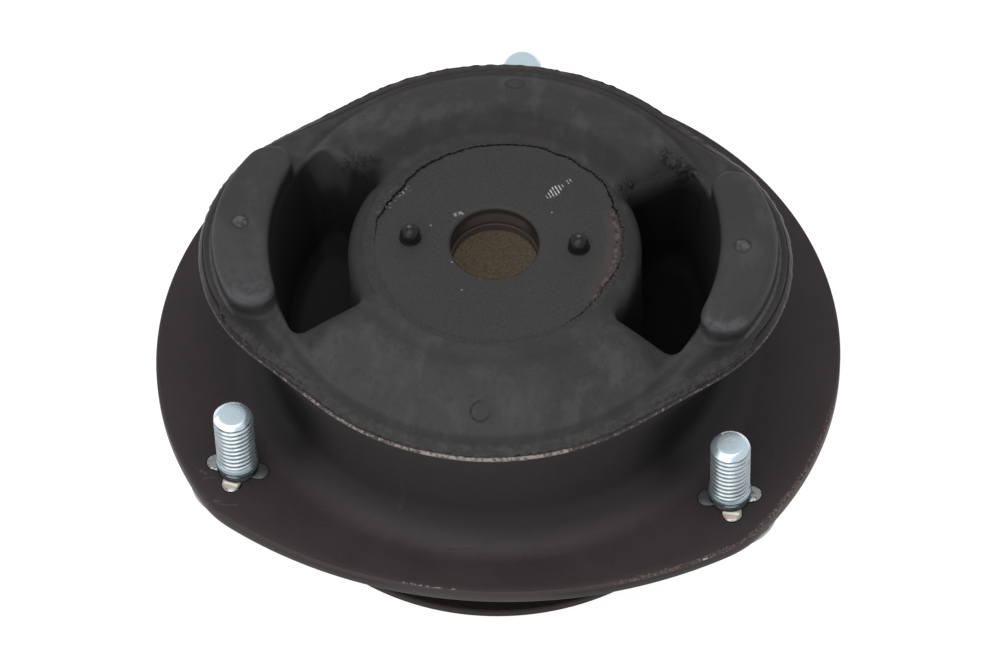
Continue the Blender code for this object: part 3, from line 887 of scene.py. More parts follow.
def studColumn(below, thread, above, angle):
    # rings below, a grid that runs up along the thread's helix, and rings above; each row is a
    # radius and a height, and points that coincide between the parts are welded afterwards
    steps = stud["steps"]
    around = 2 * math.pi * np.arange(steps) / steps
    verts, faces = [], []

    def addRows(rows):
        first = len(verts)
        for reach, height in rows:
            reach = np.broadcast_to(reach, (steps,))
            height = np.broadcast_to(height, (steps,))
            verts.extend(zip(reach * np.cos(around), reach * np.sin(around), height))
        return first

    for rows, high in ((below, False), (above, True)):
        first = addRows(rows)
        faces += [tuple(first + i for i in face) for face in gridFaces(len(rows), steps, False, True)]
        ring = first + (len(rows) - 1) * steps if high else first
        tip = len(verts)
        verts.append((0, 0, float(np.mean(rows[-1 if high else 0][1]))))
        faces += [(tip, ring + k, ring + (k + 1) % steps) for k in range(steps)]
    first = addRows(thread)
    faces += [tuple(first + i for i in face) for face in gridFaces(len(thread), steps, False, False)]
    shift = stud["rowsPerTurn"] * steps
    for i in range(len(thread) - 1 - stud["rowsPerTurn"]):
        a = first + i * steps + steps - 1
        b = first + i * steps + shift
        faces.append((a, b, b + steps, a + steps))
    verts = np.array(verts)
    c, d = math.cos(angle), math.sin(angle)
    verts = verts @ np.array([[c, d, 0], [-d, c, 0], [0, 0, 1]])
    return verts + np.array((stud["circle"] * c, stud["circle"] * d, 0)), faces


def threadDepth(phase):              # 0 on a crest, full in a root, over one pitch
    wave = np.abs((phase % 1.0) * 2 - 1)
    return stud["threadDepth"] * np.clip((wave - 0.2) / 0.55, 0, 1)


def tipRadius(z):                    # the chamfer's cone, cut over the thread
    low = stud["height"] - stud["tipHeight"] + stud["coneStart"]
    return stud["radius"] - np.maximum(z - low, 0) * stud["coneSlope"]


def threadRows(start, end):
    # rows follow the helix; past either end of the thread they lie on its end circle
    around = np.arange(stud["steps"]) / stud["steps"]
    count = int((end - start) / stud["pitch"] * stud["rowsPerTurn"]) + stud["rowsPerTurn"] + 1
    rows = []
    for k in range(count + 1):
        turns = k / stud["rowsPerTurn"] - 1
        z = np.clip(start + (turns + around) * stud["pitch"], start, end)
        fade = smoothStep(start, start + 0.9, z) * smoothStep(end, end - 0.45, z)
        rows.append((np.minimum(stud["radius"] - threadDepth(turns) * fade, tipRadius(z)), z))
    return rows


def makeStuds(material):
    print("studs")
    under = -housing["sheet"] - stud["seat"]
    head = stud["head"]
    plain = clover(stud["neck"], stud["lobe"])
    small = clover(stud["neck"] - 0.25, stud["lobe"] - 0.25)
    below = [
        (head - 1.9, under - stud["headThickness"]),
        (head - 1.4, under - stud["headThickness"] + 0.15),
        (head - 0.15, under - 1.0),
        (head, under - 0.6),
        (head - 0.2, under),
        (plain, under),
        (plain, stud["lobeRise"] - 0.2),
        (small, stud["lobeRise"]),
        (stud["undercut"] + 0.25, stud["lobeRise"]),
        (stud["undercut"], stud["lobeRise"] + 0.25),
        (stud["undercut"], 1.15),
        (stud["collar"] - 0.2, stud["collarLow"] - 0.1),
        (stud["collar"], stud["collarLow"] + 0.15),
        (stud["collar"], stud["collarHigh"] - 0.25),
        (stud["collar"] - 0.12, stud["collarHigh"]),
    ]
    start = stud["collarHigh"] + 0.15
    end = stud["height"] - stud["tipHeight"] + 0.6
    flat = stud["radius"] - stud["tipTaper"]
    above = [
        (tipRadius(end), end),
        (flat + 0.12, stud["height"] - 0.1),
        (flat - 0.08, stud["height"] - 0.02),
        (flat - 0.3, stud["height"]),
        (flat * 0.5, stud["height"] - 0.03),
    ]
    for name, angle in studAngles():
        verts, faces = studColumn(below + [(stud["radius"], start)], threadRows(start, end), above, angle)
        piece = outwards(makePiece("stud_threaded_" + name, verts, faces, 42), 0.002)
        dress(piece, material, "zinc_plate", "stud_" + name)


# Finishes

def housingFinish():
    f = Finish("housing_coat", 0.46, 0.25)
    cloud = f.noise(0.06, 4, 0.6)
    fine = f.noise(0.5, 5, 0.65)
    grain = f.noise(2.2, 4, 0.6)
    torn = f.noise(0.9, 5, 0.7, shift=11)
    f.base = f.mix(cloud.step(0.35, 0.7), (0.0295, 0.0232, 0.0248), (0.037, 0.029, 0.031))
    f.paint(fine.step(0.45, 0.65) * 0.4, (0.038, 0.029, 0.029))
    f.paint(grain.step(0.48, 0.66) * 0.4, (0.048, 0.037, 0.035))
    # painted shade: the coat darker towards the left and right
    f.paint(abs(f.x).step(30, 60) * 0.22, (0.01, 0.008, 0.008))
    # painted shade on the fillet and on the neck under the overhang, painted light on the neck's front,
    # and a painted shadow of the rim on the sides below it
    middle = f.side(-125, -55, 25)
    f.paint(f.z.step(0.2, 3.5) * 0.7, (0.0168, 0.015, 0.016))
    f.paint(f.z.step(2.8, 8.5) * (0.85 - middle * 0.85), (0.0045, 0.0043, 0.0046))
    f.paint(f.z.step(5.0, 9.0) * middle * 0.6, (0.0328, 0.0309, 0.0333))
    shadow = f.radius.step(52.5, 47.0) * f.z.step(24.0, 20.0) * (1 - middle)
    f.paint(shadow * 0.8, (0.0065, 0.006, 0.0065))
    # edge of the flange: brownish fringe, a painted highlight along the rounded corner, and its side face
    # painted dark reddish as painted shade, grey at the front as a painted reflection
    arc = housing["frontArc"]
    front = f.away((0, arc - housing["frontReach"])) - arc
    edge = f.most(f.radius - housing["flangeRadius"], front)
    flat = f.z.step(1.5, 0.5)
    right = f.side(-62, -8, 10)
    fringe = (edge + torn * 1.2).step(-0.9, 0.4) * flat
    f.paint(fringe * (0.08 + right * 0.22), (0.045, 0.028, 0.026))
    # painted highlight along the rounded top corner, patchier on the right
    corner = edge.step(-0.6, -0.35) * f.z.step(-0.75, -0.4)
    f.paint(corner * (0.3 + right * grain.step(0.45, 0.6) * 0.4), (0.075, 0.05, 0.048))
    dashes = edge.step(-0.85, -0.7) * edge.step(-0.35, -0.5) * f.side(-102.5, -93.5, 1)
    dashes = dashes * f.noise(1.6, 3, 0.6, shift=17).step(0.5, 0.55)
    f.paint(dashes * 0.7, (0.3, 0.28, 0.275))
    chipped = f.side(-60, -12, 6) * (edge + fine * 1.2).step(-0.25, 0.15) * grain.step(0.5, 0.6)
    f.paint(chipped * 0.6, (0.17, 0.125, 0.115))
    # side face: painted shade, with a painted grey reflection at the front
    under = f.z.step(-0.4, -0.8)
    centre = f.side(-98, -82, 12)
    f.paint(under * (0.9 - centre * 0.9), (0.0105, 0.0062, 0.006))
    f.paint(under * centre * 0.5, (0.03, 0.031, 0.033))
    # marks on the flange and the neck
    scuffs = f.path(((54.6, -40.9), (57.5, -34.6), (60.8, -28.4)), 0.3, 0.5) * torn.step(0.42, 0.6)
    f.paint(scuffs * grain.step(0.42, 0.52) * 0.5, (0.16, 0.13, 0.12))
    smudge = f.most(f.stroke((-51.4, -41.6), (-50.2, -41.5), 0.1),
                    f.stroke((-50.8, -42.0), (-48.9, -42.4), 0.05),
                    f.stroke((-49.4, -42.3), (-46.6, -42.2), 0.04, 0.25),
                    f.stroke((-54.8, -34.6), (-53.6, -35.2), 0.1, 0.5),
                    f.stroke((-54.0, -36.3), (-52.2, -36.0), 0.05, 0.4) * 0.7)
    f.paint(smudge * (0.12 + grain.step(0.4, 0.6) * 0.3), (0.12, 0.11, 0.11))
    nicks = f.most(f.stroke((43.7, -48.3), (44.4, -47.95), 0.04, 0.2),
                   f.stroke((45.0, -47.7), (45.5, -47.5), 0.03, 0.2),
                   f.stroke((46.1, -47.2), (46.7, -46.9), 0.01, 0.15))
    f.paint(nicks * f.z.step(-0.5, -0.25), (0.6, 0.57, 0.55))
    dents = f.most(f.path(((-14.9, -43.3), (-13.3, -41.5), (-11.7, -38.3)), 0.4, 0.4),
                   f.stroke((-5.5, -49.5), (-0.3, -49.2), 0.3, 0.4))
    f.paint(dents * torn.step(0.45, 0.6) * 0.3, (0.06, 0.05, 0.048))
    f.paint(f.specks(0.34, 0.07) * grain.step(0.5, 0.6) * 0.5, (0.075, 0.06, 0.056))
    # mouth: end face painted dark reddish, painted shade, and its outer corner worn pale in a thin ragged
    # line
    gap = f.rimGap() + (torn - 0.5) * 0.35
    # painted shade: the end face darker than the same coat on the flange, redder at the front and lighter
    # at the back
    lip = f.z.step(27.8, 28.0) * f.radius.step(44.5, 45.5)
    f.paint(lip * 0.9, (0.015, 0.0112, 0.0115))
    strong = f.most(f.side(-101, -69, 3), f.side(-132, -101, 5) * 0.55, f.side(-150, -30, 12) * 0.2,
                    f.side(-35, 35, 6) * 0.12)
    line = (gap - strong * 0.2).step(0.45, 0.25) * f.z.step(27.4, 27.7)
    patches = (torn * 0.5 + grain * 0.5 + strong * 0.22).step(0.56, 0.66)
    knots = f.noise(1.3, 3, 0.6, shift=31).step(0.4, 0.56)
    f.paint(f.side(-108, -62, 5) * lip * 0.8, (0.034, 0.0215, 0.0215))
    f.paint(line * (0.1 + strong * 0.15 + patches * 0.75) * f.y.step(24, 16),
            f.mix(knots, (0.1, 0.089, 0.087), (0.3, 0.255, 0.24)))
    f.paint(f.side(25, 155, 12) * gap.step(0.55, 1.1) * lip * 0.8, (0.031, 0.0245, 0.0248))
    return f.done(grain * 0.5 + fine * 0.9 - dents * 0.8, 0.06,
                  Roughness=0.36 + grain * 0.16 + cloud * 0.08)


def rubberFinish():
    f = Finish("moulded_rubber", 0.6, 0.25)
    cloud = f.noise(0.05, 4, 0.6)
    bloom = f.noise(0.11, 5, 0.65, shift=40)
    streaks = f.noise(0.2, 4, 0.6, stretch=(1.0, 0.35, 1.0), shift=7)
    grain = f.noise(3.0, 3, 0.6)
    crumbs = f.noise(0.8, 4, 0.7, shift=23)
    turn = f.x.math("ARCTAN2", abs(f.y), abs(f.x))
    back = f.y.step(-6.0, 14.0)
    f.base = f.mix(cloud.step(0.35, 0.65), (0.032, 0.0315, 0.0325), (0.042, 0.0415, 0.043))
    # painted shade: the rubber darker towards the back
    f.paint(back * 0.7, (0.028, 0.0262, 0.0262))
    tan = f.noise(0.085, 4, 0.6, shift=61)
    f.paint(tan.step(0.48, 0.62) * 0.5, (0.0395, 0.034, 0.034))
    # painted sheen: a lighter bluish patch at the front left
    paintedSheen = f.spot((-18, -38), 8, 26) * 0.4
    f.paint(paintedSheen, (0.043, 0.0455, 0.048))
    f.paint(bloom.step(0.5, 0.66) * 0.45, (0.064, 0.0645, 0.067))
    f.paint(bloom.step(0.46, 0.34) * 0.45, (0.024, 0.0232, 0.0236))
    f.paint(streaks.step(0.52, 0.66) * 0.4, (0.07, 0.0705, 0.073))
    f.paint(grain.step(0.5, 0.7) * 0.3, (0.06, 0.0595, 0.061))
    f.paint(crumbs.step(0.45, 0.33) * 0.35, (0.018, 0.0175, 0.0178))
    # painted light: the pads' tops lighter; their front edges pale, wear and a painted highlight; the left
    # pad's front bluish, a painted sheen
    pad = f.z.step(32.6, 34.2) * f.radius.step(41.5, 42.5) * turn.step(0.56, 0.5)
    f.paint(pad * 0.3, (0.05, 0.0498, 0.0515))
    wearAndHighlight = pad * f.y.step(-15.5, -17.5) * f.z.step(33.0, 34.0) * f.z.step(35.6, 35.1)
    f.paint(wearAndHighlight * (0.3 + crumbs.step(0.4, 0.55) * 0.35), (0.1, 0.101, 0.108))
    f.paint(pad * f.y.step(-9.0, -17.0) * crumbs.step(0.35, 0.65) * f.x.step(20, -20) * 0.6,
            (0.07, 0.071, 0.077))
    # painted shade in the hollows between the pads' front ends and the crown
    hollowShade = f.most(*[f.path(((sign * 49.8, -18.3), (sign * 44.8, -21.5), (sign * 39.5, -27.0)), 1.4, 2.4)
                       for sign in (-1, 1)]) * f.z.step(33.6, 32.0)
    f.paint(hollowShade * 0.72, (0.0125, 0.0105, 0.0105))
    # painted shade where the web falls away into the voids
    web = f.radius.step(29.0, 27.5) * turn.step(math.radians(38), math.radians(30))
    f.paint(web * 0.45, (0.0135, 0.0134, 0.0145))
    # painted shade in a band on the rise behind the plate, and in the crease at a crown's foot
    riseShade = f.radius.step(26.4, 28.0) * f.radius.step(33.0, 30.5) * f.y.step(4.0, 12.0)
    f.paint(riseShade * 0.55, (0.0125, 0.0118, 0.0118))
    crown = turn.step(math.radians(25), math.radians(33))
    creaseShade = abs(f.radius - 44.6).step(1.3, 0.1) * crown
    f.paint(creaseShade * 0.45, (0.010, 0.010, 0.0102))
    # worn skin along the edge of the mouth, a painted highlight on its edge at the ears, and painted shade
    # in the groove between it and a pad
    gap = f.rimGap()
    front = f.y.step(-18, -25)
    skin = gap.step(3.6, 2.2) * f.z.step(32.5, 31.0)
    f.paint(skin * 0.6, (0.026, 0.0245, 0.025))
    f.paint(skin * front * crumbs.step(0.45, 0.62) * 0.45, (0.062, 0.06, 0.062))
    ears = turn.step(0.42, 0.3)
    ribHighlight = gap.step(2.25, 2.4) * gap.step(2.95, 2.7) * f.z.step(32.5, 31.0) * ears
    f.paint(ribHighlight * (0.3 + crumbs.step(0.4, 0.55) * 0.4), (0.095, 0.092, 0.092))
    grooveShade = gap.step(2.9, 3.1) * gap.step(3.9, 3.5) * f.z.step(32.5, 31.5) * ears
    f.paint(grooveShade * 0.75, (0.007, 0.007, 0.0072))
    # painted shade: the voids painted near black, but for the upper part of their back ends, which gets
    # painted light
    wall = turn.step(math.radians(26), math.radians(31)) * f.y.step(0, 5)
    depth = f.z + wall * (f.x.step(10, -10) * f.radius.step(34.5, 38.0) * 8.0 + 1.5)
    hollow = f.radius.step(27.2, 28.4) * f.radius.step(43.9, 43.1)
    hollow = hollow * turn.step(math.radians(38), math.radians(35))
    deep = hollow * depth.step(31.4, 25.0)
    lit = hollow * wall * f.z.step(31.0, 29.8)
    left = f.x.step(10, -10)
    # painted light on the upper part of the voids' back-end walls
    f.paint(lit * left * f.z.step(14.0, 24.0) * f.radius.step(33.5, 38.0), (0.069, 0.067, 0.068))
    f.paint(lit * (1 - left) * f.z.step(19.0, 28.0) * (0.35 + streaks.step(0.4, 0.6) * 0.4),
            (0.06, 0.057, 0.057))
    black = f.mix(left, (0.0011, 0.001, 0.001), (0.0185, 0.0182, 0.0184))
    # painted shade where the edge of a void rounds off at its front
    rim = f.radius.step(28.5, 30.5) * f.radius.step(43.5, 42.0)
    rim = rim * turn.step(math.radians(42.5), math.radians(38))
    f.paint(rim * f.y.step(0, -8) * f.z.step(33.5, 31.5) * 0.5, (0.012, 0.0115, 0.0118))
    # painted shade: the voids near black down inside
    f.paint(deep, black)
    # painted shade along the pads' inner walls over the voids
    padWallShade = f.radius.step(43.9, 43.2) * f.z.step(36.0, 33.5) * turn.step(0.5, 0.4)
    padWallShade = padWallShade * f.radius.step(38.0, 40.0)
    f.paint(padWallShade * 0.8, (0.0045, 0.0042, 0.0042))
    # painted shade on the rough end of the back crown above each void, mottled by crumbs
    above = f.z.step(24.0, 27.0)
    shade = f.most(f.path(((-34.0, 18.4), (-30.5, 17.6), (-26.5, 16.2), (-24.0, 17.6)), 2.0, 2.8),
                   f.path(((30.0, 20.5), (35.8, 19.8)), 3.0, 2.8))
    f.paint(shade * (0.3 + left * 0.25 + crumbs.step(0.35, 0.6) * 0.2), (0.0085, 0.0082, 0.0082))
    # moulding marks: a ring on each crown, a raised spot on each pad; the dark left and lower arcs of the
    # front ring, and the back ring with its dark fill, are painted shade of the embossing
    front = f.ring((0.8, -39.5), 1.8, 0.2) * f.most(f.x.step(1.6, 0.2), f.y.step(-39.2, -40.6))
    rings = f.most(front, f.ring((0.37, 41.0), 1.7, 0.5) * 0.8, f.spot((0.37, 41.3), 1.2, 0.8) * 0.5)
    marks = (-49.0, -0.5), (47.7, 0.5)
    spots = f.most(*[f.spot(mark, 1.1, 0.6) for mark in marks])
    f.paint(rings * (0.35 + crumbs.step(0.4, 0.55) * 0.35), 0.0095)
    f.paint(f.most(*[f.ring((x, y - 0.3), 1.6, 0.2) for x, y in marks]) * 0.4, 0.012)
    f.paint(spots * crumbs.step(0.42, 0.58) * 0.8, (0.11, 0.106, 0.1))
    # pits and crumbs at the crown's right end and behind the plate; the pits are painted dark, painted
    # shade in them
    rough = f.most(f.path(((30.8, 24.3), (34.2, 23.4), (36.6, 20.8)), 2.6, 1.0),
                   f.path(((-33.0, 19.8), (-29.0, 19.0), (-25.0, 17.2)), 2.2, 1.6) * 0.45) * above
    pits = rough * crumbs.step(0.48, 0.62)
    f.paint(pits * 0.6, 0.0045)
    f.paint(rough * crumbs.step(0.38, 0.34) * grain.step(0.45, 0.6) * 0.7, (0.08, 0.077, 0.073))
    places = ((23.0, 15.8), (24.6, 15.4), (26.0, 14.8), (27.1, 12.9), (26.0, 11.6), (25.0, 17.2))
    beads = f.most(*[f.spot(place, 0.1, 0.35) for place in places]) * above
    f.paint(f.most(*[f.spot(place, 0.35, 0.35) for place in places]) * above * 0.7, 0.009)
    f.paint(beads * 0.5, (0.06, 0.058, 0.056))
    f.paint(f.specks(0.3, 0.04, 3) * (1 - hollow) * 0.6, (0.13, 0.13, 0.125))
    return f.done(grain * 0.3 + crumbs * 0.35 - rings * 0.8 + spots * 2.0 - pits * 2.5 + beads * 3.0, 0.14,
                  Roughness=0.5 + grain * 0.2 + bloom * 0.1 + deep * 0.4)


def flashFinish():
    f = Finish("rubber_flash", 0.55, 0.25)
    grain = f.noise(1.1, 5, 0.7)
    crumbs = f.noise(2.0, 4, 0.7, shift=9)
    f.base = f.mix(grain.step(0.35, 0.7), (0.026, 0.026, 0.0265), (0.038, 0.038, 0.0385))
    red = f.side(-38, 28, 6) * f.radius.step(24.9, 24.3)
    f.paint(red * crumbs.step(0.6, 0.68) * 0.7, (0.16, 0.115, 0.095))
    left = f.side(150, 166, 4) * f.radius.step(24.3, 23.6)
    f.paint(left * crumbs.step(0.56, 0.64) * 0.7, (0.2, 0.19, 0.18))
    return f.done(grain + crumbs * 0.5, 0.12)


def tearShadeFinish():
    f = Finish("flash_tear_shade", 0.8, 0.1)
    grain = f.noise(2.0, 4, 0.7)
    # near black, painted shade in the tear; reddish on the right
    f.base = f.mix(grain.step(0.35, 0.7), (0.003, 0.0028, 0.0028), (0.012, 0.0105, 0.0105))
    f.paint(f.side(-36, 16, 6) * grain.step(0.44, 0.54) * 0.9, (0.062, 0.045, 0.041))
    return f.done(grain, 0.08)


def plateFinish():
    f = Finish("core_phosphate", 0.55, 0.3)
    grain = f.noise(2.6, 4, 0.65)
    cloud = f.noise(0.08, 3, 0.5)
    dust = f.noise(1.4, 5, 0.7, shift=5)
    f.base = f.mix(grain.step(0.35, 0.7), (0.0255, 0.0252, 0.0256), (0.0405, 0.0398, 0.0403))
    f.paint(cloud.step(0.4, 0.8) * 0.3, (0.041, 0.04, 0.041))
    # a bundle of short pale scratches at the back right
    strokes = []
    lengths = (0.35, 0.6, 0.95, 1.15, 1.0, 0.65, 0.3, 0.0, 0.45, 0.3)
    for k, length in enumerate(lengths):
        x, y = 9.2 + 0.46 * k, 11.8 + 0.5 * k
        if length:
            start, end = (x - 0.55 * length, y + 0.8 * length), (x + 0.4 * length, y - 0.8 * length)
            strokes.append(f.stroke(start, end, 0.05, 0.17) * min(0.35 + 0.65 * length, 1.0))
    scratches = f.most(*strokes) * dust.step(0.36, 0.52)
    f.paint(scratches, (0.6, 0.6, 0.59))
    chips = f.most(*[f.spot(place, 0.04, 0.24) for place in (
        (-7.7, -5.3), (-2.0, -8.8), (-5.2, -11.9), (10.4, 8.1), (-12.6, 3.3))])
    chips = f.most(chips, f.path(((-8.1, 6.2), (-6.9, 6.7)), 0.35, 0.5) * dust.step(0.48, 0.56))
    f.paint(chips * 0.75, (0.36, 0.35, 0.335))
    # torn and reddish inside the seam on the right, pale crumbs at its left end
    red = f.path(((21.4, 8.9), (22.9, 3.5), (22.7, 0.7), (22.4, -4.2), (21.0, -7.7), (19.4, -12.2)),
                 1.6, 1.2)
    f.paint(red * (0.3 + cloud.step(0.4, 0.6) * 0.3), (0.06, 0.0415, 0.04))
    flakes = f.path(((22.0, 8.6), (23.5, 3.5), (23.3, -4.0), (21.9, -7.9), (20.2, -12.4)), 0.35, 0.45)
    chunks = f.noise(0.9, 3, 0.6, shift=12)
    f.paint(flakes * chunks.step(0.5, 0.56) * 0.5, (0.13, 0.103, 0.092))
    f.paint(flakes * chunks.step(0.45, 0.39) * 0.75, (0.009, 0.008, 0.008))
    crumbs = f.path(((-21.9, 7.0), (-20.1, 9.8), (-18.0, 12.4)), 1.1, 0.7)
    f.paint(crumbs * grain.step(0.52, 0.6) * dust.step(0.46, 0.54), (0.3, 0.29, 0.28))
    f.paint(f.specks(0.5, 0.05, 2) * 0.45, 0.12)
    # chamfer painted lighter, wear and a painted highlight; the bore's wall brownish, a painted reflection
    # of the cup's pale inside, with painted shade on its sides and upper part
    wall = f.radius.step(8.72, 8.6)
    f.paint(f.radius.step(9.3, 8.95) * 0.5, (0.045, 0.042, 0.038))
    boreShade = f.most(abs(f.x).step(4.5, 7.6), f.z.step(30.4, 31.2))
    f.paint(wall, f.mix(boreShade * 0.85, (0.062, 0.048, 0.04), (0.008, 0.0065, 0.0062)))
    return f.done(grain * 0.5 + dust * 0.3 - scratches * 0.4, 0.07, Roughness=0.48 + grain * 0.2)


def pinFinish():
    f = Finish("pin_steel", 0.34, 0.3)
    grain = f.noise(3.0, 3, 0.6)
    f.base = f.mix(grain.step(0.3, 0.7), (0.006, 0.006, 0.0062), (0.013, 0.013, 0.0135))
    # painted highlight on top of each pin's dome
    wearAndHighlight = f.most(f.spot((-16.4, 0.4), 0.2, 0.4), f.spot((16.2, 0.3), 0.15, 0.35)) * f.z.step(35.2, 35.6)
    f.paint(wearAndHighlight * grain.step(0.4, 0.6) * 0.6, 0.25)
    return f.done(grain, 0.02, Roughness=0.2 + grain * 0.16)


def cupFinish():
    f = Finish("cup_primer", 0.6, 0.3)
    grain = f.noise(1.6, 4, 0.7)
    rust = f.noise(0.6, 4, 0.7, shift=3)
    # painted light: the inside of the cup painted a very pale tan with rust-coloured patches, far paler
    # than a coat, so that it shows bright with the little light that gets in
    inside = f.radius.step(24.0, 22.6) * f.z.step(25.9, 25.6)
    outsideColour = f.mix(grain.step(0.3, 0.7), (0.0185, 0.0112, 0.011), (0.0285, 0.0185, 0.0178))
    # round the hole the outside is painted brownish like the bore's wall, a painted reflection
    outsideColour = f.mix(f.radius.step(12.0, 10.0), outsideColour, (0.05, 0.04, 0.0335))
    insideColour = f.mix(grain.step(0.35, 0.62), (0.57, 0.49, 0.355), (0.95, 0.84, 0.65))
    insideColour = f.mix(rust.step(0.5, 0.65) * 0.5, insideColour, (0.62, 0.47, 0.27))
    f.base = f.mix(inside, outsideColour, insideColour)
    return f.done(grain, 0.08)


def zincFinish():
    f = Finish("zinc_plate", 0.26, metallic=0.6)
    cloud = f.noise(0.5, 3, 0.6)
    grain = f.noise(5.0, 3, 0.6)
    stain = f.noise(1.5, 4, 0.7, shift=2)
    f.base = f.mix(cloud.step(0.35, 0.65), (0.5, 0.585, 0.63), (0.62, 0.68, 0.71))
    collar = f.z.step(1.3, 1.7) * f.z.step(3.4, 3.1)
    f.paint(collar * 0.8, (0.27, 0.37, 0.43))
    away = f.studAway()
    end = stud["height"] - stud["tipHeight"]
    cone = f.z.math("MAXIMUM", f.z - (end + stud["coneStart"]), 0.0) * stud["coneSlope"]
    # painted shade in the thread roots, where the flanks face down to the dark flange
    root = (away + cone).step(3.72, 3.4) * f.z.step(3.2, 3.4) * f.z.step(end + 0.55, end + 0.35)
    f.paint(root * 0.85, (0.07, 0.09, 0.1))
    # painted reflection: the tip paler and bluer
    tip = f.z.step(end, end + 0.3)
    f.paint(tip * (1 - root), (0.7, 0.84, 0.92))
    # painted highlights on the bevels of the left and right studs' tips, and painted shade beside the
    # right one
    bevel = tip * f.z.step(stud["height"] - 0.02, stud["height"] - 0.1)
    lx, ly = (stud["circle"] * turn(-quarter - stud["spread"]) for turn in (math.cos, math.sin))
    bevelGlint = f.most(f.spot((lx - 2.2, ly - 2.4), 1.9, 0.5), f.spot((-lx + 0.5, ly + 3.2), 2.2, 0.6))
    f.paint(bevel * bevelGlint, 1.0)
    f.paint(bevel * f.spot((-lx - 0.2, ly + 2.7), 1.2, 0.5) * away.step(2.95, 2.8), (0.05, 0.06, 0.065))
    # lobes painted dull grey, a painted reflection of the dark housing, with brown stains; the inner ones
    # darker, painted shade round the core, and the front ones painted bright, with some brown
    low = f.z.step(1.2, 0.7)
    f.paint(low * 0.8, 0.3)
    f.paint(low * stain.step(0.5, 0.6) * 0.7, (0.09, 0.085, 0.08))
    inner = low * abs(f.x).step(46.0, 44.5) * f.y.step(0, -5)
    f.paint(inner * 0.9, (0.055, 0.052, 0.054))
    # painted shade round the stud's core under the collar
    core = low * away.step(4.2, 3.9)
    f.paint(core * 0.9, (0.016, 0.0155, 0.016))
    frontPale = f.most(f.spot((-48.5, -36.9), 1.6, 0.4), f.spot((48.2, -36.9), 1.7, 0.4)) * low * (1 - core)
    f.paint(frontPale * 0.85, (0.5, 0.42, 0.36))
    f.paint(f.most(f.stroke((-49.8, -37.2), (-47.4, -37.8), 0.25, 0.3),
                   f.stroke((46.8, -37.3), (49.6, -37.5), 0.35, 0.3)) * frontPale, (0.9, 0.84, 0.78))
    head = f.z.step(-2.9, -3.1)
    f.paint(head * 0.9, (0.26, 0.245, 0.24))
    f.paint(head * stain.step(0.5, 0.58) * 0.6, (0.4, 0.39, 0.38))
    return f.done(grain + stain * low, 0.012,
                  Roughness=0.2 + grain * 0.12 - low * 0.06 + frontPale * 0.3 + f.most(inner, core) * 0.25,
                  Metallic=0.78 + low * 0.2 - f.most(bevel * bevelGlint, frontPale, inner, core, head * 0.6) * 0.75)


# Stage

stageSet = {
    "elevation": math.radians(52.97),
    "azimuth": math.radians(6.69),
    "roll": math.radians(-2.06),
    "distance": 1118.16,             # mm from the flange's middle
    "focalPixels": 5685.62,
    "imageWidth": 1000,
    "imageHeight": 667,
    "middlePixel": (498.1, 344.6),   # where the middle of the flange's top face shows
    "sensor": 36.0,
    "clip": (0.05, 20),              # metres
    "floorReach": 6.0,               # metres
    "floorDrop": 0.05,               # mm under the foot, so that the two faces don't coincide
    "floorGlow": 0.9,
    "sky": 0.65,
    "skySeen": 0.4,                  # more of it where the camera sees it straight
    # place and side in metres, watts
    "lamps": {"box_key": ((-0.55, -0.95, 1.25), 1.7, 10), "box_above": ((0.05, -0.15, 1.35), 0.9, 4)},
}


def makeCamera():
    print("camera")
    data = bpy.data.cameras.new("photo_view")
    camera = placed("photo_view", data)
    e, a = stageSet["elevation"], stageSet["azimuth"]
    back = Vector((math.sin(a) * math.cos(e), -math.cos(a) * math.cos(e), math.sin(e)))
    camera.location = Vector((axisX, axisY, flangeTop)) + back * stageSet["distance"] * mm
    facing = (-back).to_track_quat("-Z", "Y").to_matrix()
    roll = Euler((0, 0, stageSet["roll"])).to_matrix()
    camera.rotation_euler = (facing @ roll).to_euler()
    data.sensor_width = stageSet["sensor"]
    data.lens = stageSet["focalPixels"] * stageSet["sensor"] / stageSet["imageWidth"]
    px, py = stageSet["middlePixel"]
    data.shift_x = (stageSet["imageWidth"] / 2 - px) / stageSet["imageWidth"]
    data.shift_y = (py - stageSet["imageHeight"] / 2) / stageSet["imageWidth"]
    data.clip_start, data.clip_end = stageSet["clip"]
    bpy.context.scene.camera = camera


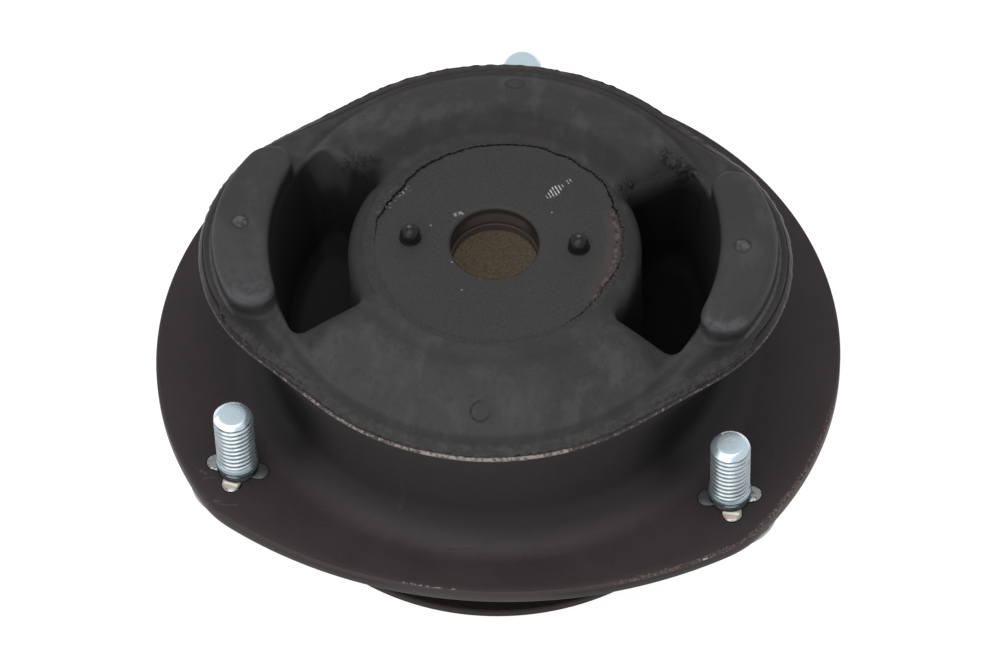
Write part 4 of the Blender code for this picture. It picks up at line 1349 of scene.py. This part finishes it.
def makeFloor():
    print("floor")
    mesh = bpy.data.meshes.new("floor")
    reach, low = stageSet["floorReach"], -stageSet["floorDrop"] * mm
    mesh.from_pydata([(x * reach, y * reach, low) for x, y in ((-1, -1), (1, -1), (1, 1), (-1, 1))], [],
                     [(0, 1, 2, 3)])
    floor = placed("floor", mesh)
    material = bpy.data.materials.new("pale_floor")
    material.use_nodes = True
    tree = material.node_tree
    shader = tree.nodes["Principled BSDF"]
    for key, value in (("Base Color", shade(0.8)), ("Roughness", 0.9), ("Specular IOR Level", 0.0)):
        shader.inputs[key].default_value = value
    wire = Wire(tree, None)
    path = wire.node("LightPath")
    links = path.socket.node.outputs
    seen = wire.math("MAXIMUM", Wire(tree, links["Is Camera Ray"]),
                     wire.math("MAXIMUM", Wire(tree, links["Is Glossy Ray"]),
                               Wire(tree, links["Is Transmission Ray"])))
    shadow = wire.node("BsdfDiffuse", None, {"Color": shade(0.3)})
    glow = wire.node("Emission", None, {"Color": shade(1), "Strength": stageSet["floorGlow"]})
    pale = wire.node("AddShader", None, {0: shadow, 1: glow})
    plain = Wire(tree, shader.outputs[0])
    both = wire.node("MixShader", None, {0: seen, 1: plain, 2: pale})
    tree.links.new(both.socket, tree.nodes["Material Output"].inputs["Surface"])
    floor.data.materials.append(material)


def softBox(name, place, side, watts):
    light = bpy.data.lights.new(name, "AREA")
    light.shape = "RECTANGLE"
    light.size = light.size_y = side
    light.energy = watts
    lamp = placed(name, light)
    lamp.location = place
    lamp.rotation_euler = (-Vector(place)).to_track_quat("-Z", "Y").to_euler()


def makeLights():
    print("lights")
    world = bpy.data.worlds.new("studio")
    bpy.context.scene.world = world
    world.use_nodes = True
    wire = Wire(world.node_tree, None)
    background = world.node_tree.nodes["Background"]
    path = wire.node("LightPath")
    seen = Wire(world.node_tree, path.socket.node.outputs["Is Camera Ray"])
    background.inputs["Color"].default_value = shade(1)
    strength = stageSet["sky"] + seen * stageSet["skySeen"]
    world.node_tree.links.new(strength.socket, background.inputs["Strength"])
    for name, values in stageSet["lamps"].items():
        softBox(name, *values)


def makeObject():
    makeHousing(housingFinish())
    makeRubber(rubberFinish())
    plateMaterial = plateFinish()
    makeFlash(flashFinish(), tearShadeFinish(), plateMaterial)
    makeCore(plateMaterial, pinFinish(), cupFinish())
    makeStuds(zincFinish())


makeCamera()
makeFloor()
makeLights()
makeObject()
bpy.context.scene.view_settings.view_transform = "Standard"
